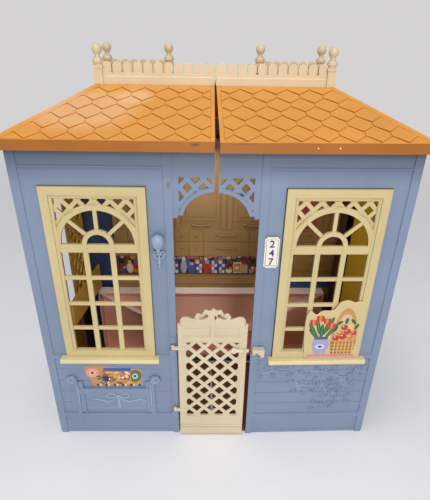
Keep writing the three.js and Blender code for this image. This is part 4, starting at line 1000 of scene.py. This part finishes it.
def shelfPrint():
    draw = random.Random(7)
    bright = ("red", "orange", "yellow", "cream", "blue", "lilac", "pink", "tan")
    dull = ("brown", "red", "blue", "tan", "dark", "green", "grey")
    shapes = [(square(-158, 205, 163.8, 166), "brown", 1)]
    # squares of several colours behind, pans at the top, boxes, jars and bowls in front
    for column in range(45):
        for row in range(4):
            if draw.random() < 0.6:
                x0, z0 = -157 + column * 8.0, 166.5 + row * 8.8
                shapes.append((square(x0, x0 + 7.6, z0, z0 + 8.4), draw.choice(dull), 0))
    x = -156.0
    while x < 196:
        wide = draw.uniform(5, 9)
        ink = draw.choice(bright)
        shapes.append((oval(x + wide / 2, draw.uniform(193, 198), wide, draw.uniform(5, 8), 0, 12), ink, 1))
        shapes.append((oval(x + wide / 2, 196, wide * 0.4, 3, 0, 8), draw.choice(bright), 2))
        x += wide + draw.uniform(0.4, 2.2)
    x = -156.0
    while x < 192:
        wide = draw.uniform(9, 14)
        tall = draw.uniform(15, 29)
        kind = draw.choice(("jar", "box", "tiles", "bowl"))
        ink, second = draw.sample(bright, 2)
        shapes += shelfThing(draw, kind, x, wide, tall, ink, second)
        x += wide + draw.uniform(0.2, 1.6)
    printedSheet("shelfPicture", "rear_house", 191.35, shapes)


benchPrint()
panelPrint()
shelfPrint()
print("prints laid")


# Kitchen: upper cabinets with doors, a handle rail and two rows of drawers, worktop and lower doors

kitchen = {
    "left": -160.0, "right": 207.0, "front": 181.0, "back": 194.6, "relief": 1.3,
    "bottom": 203.0, "drawerTop": 229.8, "secondTop": 250.3, "doorBottom": 267.3, "top": 398.0,
    "worktop": 163.0, "worktopThick": 12.0,
    "doorPitch": 83.0, "doorWide": 61.0, "firstDoor": -49.0, "tallLeft": 92.0,
    "drawerPitch": 122.5, "firstDrawer": -61.0, "smallDrawer": 23.2,
    "lowerPitch": 61.2, "lowerFoot": 18.0, "lowerTop": 148.0, "rounding": 0.4,
    "tallDrawers": (175.5, 188.0, 200.5), "tallDrawerHigh": 11.3, "edgeBoard": (144.0, 157.0),
    "doorGrip": [(-15, 0.4, 262.4), (-11, -1.6, 260.6), (0, -2.0, 259.8), (11, -1.6, 260.6),
                 (15, 0.4, 262.4)],
    "drawerGrip": [(-15, 0.4, 0), (-13, -1.6, 0), (13, -1.6, 0), (15, 0.4, 0)],
    "knob": [(1.3, -0.4), (1.3, 0.6), (2.1, 1.2), (2.1, 1.8), (1.4, 2.3)],
}


def raisedPanel(name, x0, x1, z0, z1, y):
    # a door front: raised field inside a groove
    return [block(name, x0, x1, y, y + 2.4, z0, z1, 0.4),
            block(name, x0 + 6, x1 - 6, y - 0.9, y + 1, z0 + 7, z1 - 7, 0.7)]


def gripAt(points, middle, y, height, radius):
    line = throughPoints([(middle + a, y + b, height + c) for a, b, c in points], 5)
    return beadAlong("grip", line, radius)


def within(x0, x1):
    return max(x0, kitchen["left"] + 1), min(x1, kitchen["right"] - 1)


def drawerRow(z0, z1):
    # two small drawers with knobs and a wide one with a bar handle, again and again
    k = kitchen
    y, small = k["front"], k["smallDrawer"]
    height = z0 + 0.6 * (z1 - z0)
    pieces = []
    x = k["firstDrawer"] - k["drawerPitch"]
    while x < k["right"]:
        edges = [x, x + small, x + 2 * small, x + k["drawerPitch"]]
        for index, (a, b) in enumerate(zip(edges, edges[1:])):
            x0, x1 = within(a + 0.5, b - 0.5)
            middle = (x0 + x1) / 2
            if x1 - x0 < 10:
                continue
            pieces.append(block("drawer", x0, x1, y, y + 2.4, z0, z1, 0.4))
            if index < 2:
                knob = onFront(turnedUp("knob", 0, 0, k["knob"], 16), 0)
                pieces.append(moved(knob, middle, y, height))
            elif x1 - x0 > 40:
                pieces.append(gripAt(k["drawerGrip"], middle, y, height, 1.2))
        x += k["drawerPitch"]
    return pieces


def kitchenFronts():
    k = kitchen
    y, left, right, back, worktop = k["front"], k["left"], k["right"], k["back"], k["worktop"]
    reliefFoot = y + k["relief"]
    pieces = [block("carcass", left, right, reliefFoot, back, k["bottom"], k["top"], 0.4),
              block("worktop", left, right, y - 1, back, worktop - k["worktopThick"], worktop, 0.6),
              block("lowerCarcass", left, right, reliefFoot, back, 3.4, worktop - 1, 0.4),
              block("backSheet", left, right, back - 1.9, back, worktop - 1, k["bottom"] + 1)]
    x = k["firstDoor"] - 2 * k["doorPitch"]
    while x < right:
        x0, x1 = within(x, x + k["doorWide"])
        if x1 - x0 > 14:
            pieces += raisedPanel("door", x0, x1, k["doorBottom"], k["top"] - 3, y)
            if x1 - x0 > 45:
                pieces.append(gripAt(k["doorGrip"], (x0 + x1) / 2, y, 0, 1.5))
        x0, x1 = within(x + k["doorWide"] + 2, x + k["doorPitch"] - 2)
        if x1 - x0 > 4:
            wide = 0.44 * (x1 - x0)
            for start in (x0, x1 - wide):
                pieces.append(block("post", start, start + wide, y - 0.2, y + 2.4, k["secondTop"] + 2,
                                    k["top"] - 3, 0.4))
        x += k["doorPitch"]
    pieces += drawerRow(k["bottom"] + 1, k["drawerTop"])
    pieces += drawerRow(k["drawerTop"] + 1, k["secondTop"])
    x = left
    while x < right - 10:
        x0, x1 = within(x + 1, x + 60)
        pieces += raisedPanel("lowerDoor", x0, x1, k["lowerFoot"], k["lowerTop"], y)
        x += k["lowerPitch"]
    tallLeft, rounding = k["tallLeft"], k["rounding"]
    pieces.append(block("tallUnit", tallLeft, right, y + 0.4, back - 0.2, worktop - 1, k["bottom"] + 1,
                        rounding))
    for z in k["tallDrawers"]:
        pieces.append(block("drawer", tallLeft + 2, right - 2, y - 0.5, y + 1.4, z - k["tallDrawerHigh"], z,
                            rounding))
    whole = setSlots(joined("kitchenUnits", pieces), "kitchenTan", "kitchenShade")
    # painted shade: faces that face down or sideways take the darker tan
    for polygon in whole.data.polygons:
        if polygon.normal.z < -0.4 or abs(polygon.normal.x) > 0.6:
            polygon.material_index = 1
    settle(whole, "rear_house", ["kitchen_cabinets"])
    edge = block("worktopEdge", tallLeft, right - 1, y - 1.5, y - 0.7, *k["edgeBoard"], 0.2)
    settle(setSlots(edge, "boardBlue"), "rear_house")
    cloth = onFront(plateOf("cloth", oval(153, 279, 32, 50, 12), 0, 0.4), y - 0.95)
    settle(setSlots(cloth, "inkMagenta"), "rear_house")
    board = block("sideBoard", right + 0.4, right + 2.4, 157, back - 0.4, 4, 430, 0.2)
    settle(setSlots(board, "sideMaroon"), "rear_house")


kitchenFronts()
print("kitchen finished")


# Gate: rims along the crest, raised stiles, arm caps and the bolt's drop-shaped thumb piece

gate = {
    "front": -5.6, "crestFront": -5.2, "base": 201.6, "half": 41.6, "rim": 0.75, "inset": 1.3,
    "boltFront": -8.3, "boltBack": -5.9, "boltMiddle": 161.4, "ribX": 28.6,
    "stile": (38.4, 44.9, 33.6, 201.4), "beads": ((32.6, 34.8), (19.4, 21.2), (14.6, 16.2)),
    "boardLines": (176.0, 186.0), "armFeet": (162.4, 50.4), "armAxis": (-52.4, -5.4),
    "armCap": [(2.5, 4.0), (2.7, 4.6), (2.3, 5.4), (1.2, 5.9)],
    "drop": [(24.8, 0.0), (25.4, 2.7), (26.8, 4.2), (28.6, 4.7), (30.4, 4.2), (31.8, 3.0), (33.2, 2.2),
             (48.4, 2.2)],
}


def crestEdge():
    # the right half of the crest's outline, from its end to the knob
    half, base, inset = gate["half"], gate["base"], gate["inset"]
    line = [(half - 0.6, base + 2.5), (half + 0.4, base + 6.5), (half - 2.6, base + 9.6),
            (half - 8.2, base + 9.6), (half - 13.6, base + 8.2), (half - 18.2, base + 7.6)]
    line += arcPoints(half - 23, base + 12, 4.6 - inset, -34, 150, 9)
    line += arcPoints(half - 33, base + 17, 5 - inset, -20, 118, 8)
    return line + [(0, base + 25 - inset * 1.6)]


def gateTrim():
    g = gate
    front = g["front"]
    x0, x1, foot, top = g["stile"]
    right = crestEdge()
    outline = right + [(-x, z) for x, z in reversed(right[:-1])]
    pieces = [beadAlong("crestRim", [(x, g["crestFront"], z) for x, z in outline], g["rim"])]
    for side in (-1, 1):
        curl = spiral(side * 15.6, g["base"] + 13.4, 4.0, 1.2, 200 if side > 0 else -20, -side * 1.1)
        pieces.append(beadAlong("curl", [(x, g["crestFront"], z) for x, z in curl], 0.6))
        pieces.append(block("post", side * x0, side * x1, front - 0.7, front + 0.5, foot, top, 0.35))
    for z0, z1 in g["beads"]:
        pieces.append(block("baseBead", -x1, x1, front - 0.6, front + 0.5, z0, z1, 0.35))
    for z in g["boardLines"]:
        for x in (-36.0, 2.6):
            pieces.append(block("boardLine", x, x + 33.4, front + 0.8, front + 2.4, z, z + 0.9, 0.2))
    for z in g["armFeet"]:
        rings = [(radius, z + height) for radius, height in g["armCap"]]
        pieces.append(turnedUp("armCap", *g["armAxis"], rings, 20))
    settle(setSlots(joined("gateTrim", pieces), "gateCream"), "gate")


def gateBolt():
    g = gate
    middle, drop, back = g["boltMiddle"], g["drop"], g["boltBack"]
    outline = [(x, middle - h) for x, h in drop] + [(x, middle + h) for x, h in reversed(drop[1:])]
    plate = roundEdges(onFront(plateOf("paddle", outline, 0, back - g["boltFront"]), back), 0.45, 2, 50)
    ribPlaces = [(g["ribX"], g["boltFront"] - 0.3, middle + reach) for reach in (-2.6, 2.6)]
    whole = joined("gateBolt", [plate, beadAlong("thumbRib", ribPlaces, 1.1, 0.7)])
    # the whole bolt takes the gate's lighter cream, a painted highlight
    settle(setSlots(whole, "gateCreamEdge"), "gate_bolt", ["gate_bolt"])


gateTrim()
gateBolt()
print("gate finished")


# Bench relief: scrolls on the arms, a bow with wavy ribbons on the apron

bench = {
    "front": -3.2, "apron": -1.6, "armInner": -79.0, "armOuter": -195.0, "armZ": 105.0, "bead": 1.15,
    "postIn": 6.9, "postWide": 7.6, "postFoot": 44.0, "postTop": 101.0, "seat": (-182.0, -92.0, 84.6),
    "rim": (-184.0, -89.0, 50.6, 80.0), "bow": (-133.0, 73.0),
    "loop": [(0, 0, 0), (7, -0.5, 5.4), (14.5, -0.7, 5.0), (15.5, -0.6, 0.8), (8, -0.5, -1.4), (0, 0, 0)],
    "ribbon": [(0, 0, -1), (8, -0.3, -6.5), (16, -0.4, -9.2), (24, -0.4, -6.4), (33, -0.3, -5.2),
               (41, -0.3, -8.8)],
}


def benchRelief():
    b = bench
    pieces = []
    for x, way in ((b["armOuter"], 1), (b["armInner"], -1)):
        inner = x + way * b["postIn"]
        turns = spiral(x, b["armZ"], 6.3, 1.6, 0 if way > 0 else 180, -way * 1.5)
        line = [(px, b["front"], pz) for px, pz in [(inner, 60.0), (inner, 90.0)] + turns]
        pieces.append(beadAlong("armScroll", line, b["bead"]))
        x0, x1 = sorted((inner - way * 0.4, inner + way * b["postWide"]))
        pieces.append(block("post", x0, x1, -2.6, 0.4, b["postFoot"], b["postTop"], 0.5))
        edge = inner + way * (b["postWide"] - 0.4)
        line = [(edge, -2.2, z) for z in (b["postFoot"], b["postTop"] - 8)]
        pieces.append(beadAlong("postLine", line, 0.8))
    x0, x1, z = b["seat"]
    pieces.append(beadAlong("seat", [(x0, -2.4, z), (x1, -2.4, z)], 1.1))
    x, z = b["bow"]
    y = b["apron"]
    for side in (-1, 1):
        for name, radius, taper in (("loop", 1.1, 1.0), ("ribbon", 1.25, 0.5)):
            line = throughPoints([(x + side * a, y + c, z + d) for a, c, d in b[name]], 5)
            pieces.append(beadAlong(name, line, radius, taper))
    hanging = [(x - 2.0, 50.2), (x + 2.4, 50.2), (x + 2.0, z - 2), (x - 2.0, z - 2)]
    pieces.append(onFront(plateOf("hangingEnd", hanging, 0, 1.0, 0.7), y + 0.1))
    pieces.append(onFront(plateOf("knot", oval(x, z, 6.4, 5.6, count=14), 0, 2.0, 0.6), y + 0.2))
    x0, x1, z0, z1 = b["rim"]
    pieces.append(beadAlong("apronRim", [(x0, y, z1), (x0, y, z0), (x1, y, z0), (x1, y, z1)], 0.7))
    # a darker copy of each form, a little down and back, is a painted shadow on the wall; every form but the
    # posts takes the lighter blue, a painted highlight
    paintedShadows = []
    for piece in pieces:
        setSlots(piece, "wallBlue" if piece.name.startswith("post") else "wallBlueEdge")
        paintedShadows.append(setSlots(copyOf(piece, "foot", shiftBy(0.35, 0.55, -0.75)), "wallBlueSide"))
    settle(joined("benchRelief", pieces + paintedShadows), "left_wing")


benchRelief()
print("bench relief finished")


# Vine relief under the right window: stems, veined leaves and five-petalled blossoms

vine = {
    "wall": 0.1, "leafHeight": 1.2, "stem": 0.75,
    "stems": [
        [(58, 138), (66, 129), (64, 117), (78, 122), (92, 124), (107, 123)],
        [(107, 123), (112, 108), (117, 92), (122.5, 79)],
        [(107, 123), (124, 124), (140, 119), (153, 118), (170, 112), (179, 104), (190, 112), (202, 124)],
        [(153, 118), (150, 105), (152, 94), (158, 82), (168, 77), (179, 68)],
        [(179, 104), (186, 96), (190, 88)],
        [(168, 77), (162, 64), (155, 56), (143, 54)],
        [(117, 92), (128, 94), (139, 91)],
        [(202, 124), (208, 132), (211, 137)],
    ],
    "blossoms": [
        (153, 118, 7.2), (151.5, 94, 7.8), (179, 104, 8.4), (169, 79, 7.2), (178.5, 68.5, 6.4),
        (156, 56, 5.6), (199, 121, 6.6), (166, 92, 5.2), (190, 112, 5.0),
    ],
    "leaves": [
        (62, 133, 11, 130), (67, 126, 10, 30), (64.5, 115, 9, 260), (79, 117, 9, 300),
        (82, 124, 10, 20), (101, 128, 11, 150), (108, 129, 11, 60), (110, 117, 11, 210),
        (116, 121, 11, 330), (111, 104, 10, 200), (119, 99, 11, 20), (124, 92, 11, 350),
        (116, 87, 10, 215), (124, 83, 9, 300), (132, 96, 10, 25), (137, 88, 9, 320),
        (125, 129, 11, 120), (132, 118, 11, 250), (138, 125, 11, 50), (141, 111, 11, 280),
        (146, 124, 10, 140), (162, 122, 11, 40), (164, 108, 11, 250), (158, 104, 10, 10),
        (144, 98, 10, 170), (143, 88, 9, 210), (160, 88, 10, 30), (171, 115, 10, 110),
        (187, 106, 11, 350), (190, 98, 11, 320), (189, 88, 10, 290), (174, 96, 10, 240),
        (193, 119, 10, 150), (204, 127, 11, 60), (209, 134, 10, 100), (204, 115, 10, 300),
        (161, 74, 10, 190), (176, 83, 10, 60), (186, 72, 10, 20), (188, 65, 10, 340),
        (172, 62, 10, 250), (163, 62, 9, 330), (148, 60, 9, 150), (146, 51, 9, 190), (165, 52, 10, 350),
    ],
}


def shadeOf(outline, grow):
    # a thin dark plate a little larger than the outline, a painted shadow at the foot of a relief
    middle = sum((Vector(point) for point in outline), Vector((0, 0))) / len(outline)
    grown = []
    for point in outline:
        reach = Vector(point) - middle
        grown.append(tuple(middle + reach * (1 + grow / max(reach.length, 0.5))))
    return setSlots(plateOf("shade", grown, -0.4, 0.22), "wallBlueSide")


def leafAt(x, z, length, angle):
    # a pointed leaf with a raised middle vein in the darker colour as painted shade, growing from (x, z)
    half = [(0.0, 0.0), (0.22, 0.26), (0.5, 0.34), (0.78, 0.2), (1.0, 0.0)]
    outline = [(a * length, b * length) for a, b in half + [(a, -b) for a, b in reversed(half[1:-1])]]
    leaf = setSlots(plateOf("leaf", outline, -0.4, vine["leafHeight"] * 0.9, 0.6), "wallBlue")
    line = [(0, -0.2), (length * 0.9, -0.1), (length * 0.9, 0.1), (0, 0.2)]
    vein = setSlots(plateOf("vein", line, 0, vine["leafHeight"] * 1.1), "wallBlueSide")
    whole = joined("leaf", [leaf, vein, shadeOf(outline, 0.6)])
    whole.data.transform(spin(angle))
    return moved(onFront(smooth(whole, 30), vine["wall"]), x, 0, z)


def blossomAt(x, z, radius, turn):
    outline = oval(radius * 0.58, 0, radius * 0.86, radius * 0.74, count=12)
    petals = []
    for index in range(5):
        petal = setSlots(plateOf("petal", outline, -0.4, 1.5, 0.55), "wallBlue")
        petals.append(joined("petal", [petal, shadeOf(outline, 0.55)]))
        petals[-1].data.transform(spin(turn + index * 72))
    # the heart takes the lighter blue, a painted highlight
    heart = plateOf("heart", oval(0, 0, radius * 0.44, radius * 0.44, count=12), 0, 2.1, 0.6)
    whole = joined("blossom", petals + [setSlots(heart, "wallBlueEdge")])
    return moved(onFront(smooth(whole, 30), vine["wall"]), x, 0, z)


def vineRelief():
    wallY, radius = vine["wall"], vine["stem"]
    pieces = []
    for stem in vine["stems"]:
        line = throughPoints([(x, wallY - 0.2, z) for x, z in stem], 4)
        # the stems take the lighter blue, a painted highlight, each over a darker bead that is a painted
        # shadow
        pieces.append(setSlots(beadAlong("stem", line, radius, 0.6, 2), "wallBlueEdge"))
        foot = [(x, wallY + radius * 0.75, z - 0.35) for x, y, z in line]
        pieces.append(setSlots(beadAlong("foot", foot, radius + 0.4, 0.6, 1), "wallBlueSide"))
    for x, z, length, angle in vine["leaves"]:
        pieces.append(leafAt(x, z, length, angle))
    for index, (x, z, size) in enumerate(vine["blossoms"]):
        pieces.append(blossomAt(x, z, size, index * 23))
    settle(joined("vineRelief", pieces), "right_wing")


vineRelief()
print("vine relief finished")


# Floor, light and camera

room = {
    "floorColour": (246, 246, 249),
    "backColour": (212, 210, 211),
    "fadeFrom": 0.7,         # metres from the house
    "fadeTo": 2.2,
    "skyColour": (240, 240, 242),
    "skyStrength": 0.42,
    "lights": [              # name, place, what it looks at, size and power
        ("keyLight", (0.3, -1.8, 1.75), (0, 0, 0.3), 0.6, 18.0),
        ("frontLight", (0.1, -1.9, 0.6), (0, 0, 0.2), 0.6, 8.0),
        ("insideLight", (0.0, 0.005, 0.385), (0.0, 0.005, 0.1), 0.12, 0.14),
        ("ceilingLight", (-0.3, -0.4, 2.4), (0, 0, 0.3), 1.1, 13.0),
    ],
}
floor = added("floor", bpy.ops.mesh.primitive_plane_add, size=14, location=(0, 3, 0))
floorFinish = mouldedPlastic("floorTile", room["floorColour"], roughness=0.35, drift=0.01, grime=0.02,
                             grain=0.0)
tree = floorFinish.node_tree
floorPlace = tree.nodes["Texture Coordinate"].outputs["Object"]
distance = addNode(tree, "VectorMath", {0: floorPlace}, operation="LENGTH").outputs["Value"]
fade = spread(tree, distance, room["fadeFrom"], room["fadeTo"])
glow = addNode(tree, "Emission", {"Color": linear(room["backColour"])})
fading = addNode(tree, "MixShader", {0: fade, 1: tree.nodes["Principled BSDF"].outputs[0],
                                     2: glow.outputs[0]})
tree.links.new(fading.outputs[0], tree.nodes["Material Output"].inputs["Surface"])
floor.data.materials.append(floorFinish)

world = bpy.data.worlds.new("room")
bpy.context.scene.world = world
world.use_nodes = True
tree = world.node_tree
sky = tree.nodes["Background"]
sky.inputs["Color"].default_value = linear(room["skyColour"])
sky.inputs["Strength"].default_value = room["skyStrength"]
seen = addNode(tree, "Background", {"Color": linear(room["backColour"]), "Strength": 1.0})
cameraRay = addNode(tree, "LightPath", {}).outputs["Is Camera Ray"]
picked = addNode(tree, "MixShader", {0: cameraRay, 1: sky.outputs[0], 2: seen.outputs[0]})
tree.links.new(picked.outputs[0], tree.nodes["World Output"].inputs["Surface"])

for name, place, target, size, power in room["lights"]:
    data = bpy.data.lights.new(name, "AREA")
    data.shape = "DISK"
    data.size = size
    data.energy = power
    light = bpy.data.objects.new(name, data)
    bpy.context.scene.collection.objects.link(light)
    light.location = place
    light.rotation_euler = (Vector(target) - Vector(place)).to_track_quat("-Z", "Y").to_euler()

view = {
    "eye": (-10.79075, -459.40493, 539.10305),
    "yaw": 1.42169,
    "pitch": 27.34667,
    "roll": 0.96736,
    "focal": 432.6054,       # in pixels of a 430 x 500 picture
    "centreRow": 254.0789,
    "tall": 500,
    "sensor": 36,
}
cameraData = bpy.data.cameras.new("photoCamera")
cameraData.sensor_width = view["sensor"]
cameraData.lens = view["focal"] / view["tall"] * view["sensor"]
cameraData.shift_y = (view["centreRow"] - view["tall"] / 2) / view["tall"]
cameraData.clip_start = 0.02
camera = bpy.data.objects.new("photoCamera", cameraData)
bpy.context.scene.collection.objects.link(camera)
looking = spin(-view["yaw"]) @ spin(90 - view["pitch"], "X") @ spin(view["roll"])
camera.matrix_world = shiftBy(*partPlace(*view["eye"])) @ looking
bpy.context.scene.camera = camera

bpy.context.scene.view_settings.view_transform = "Standard"
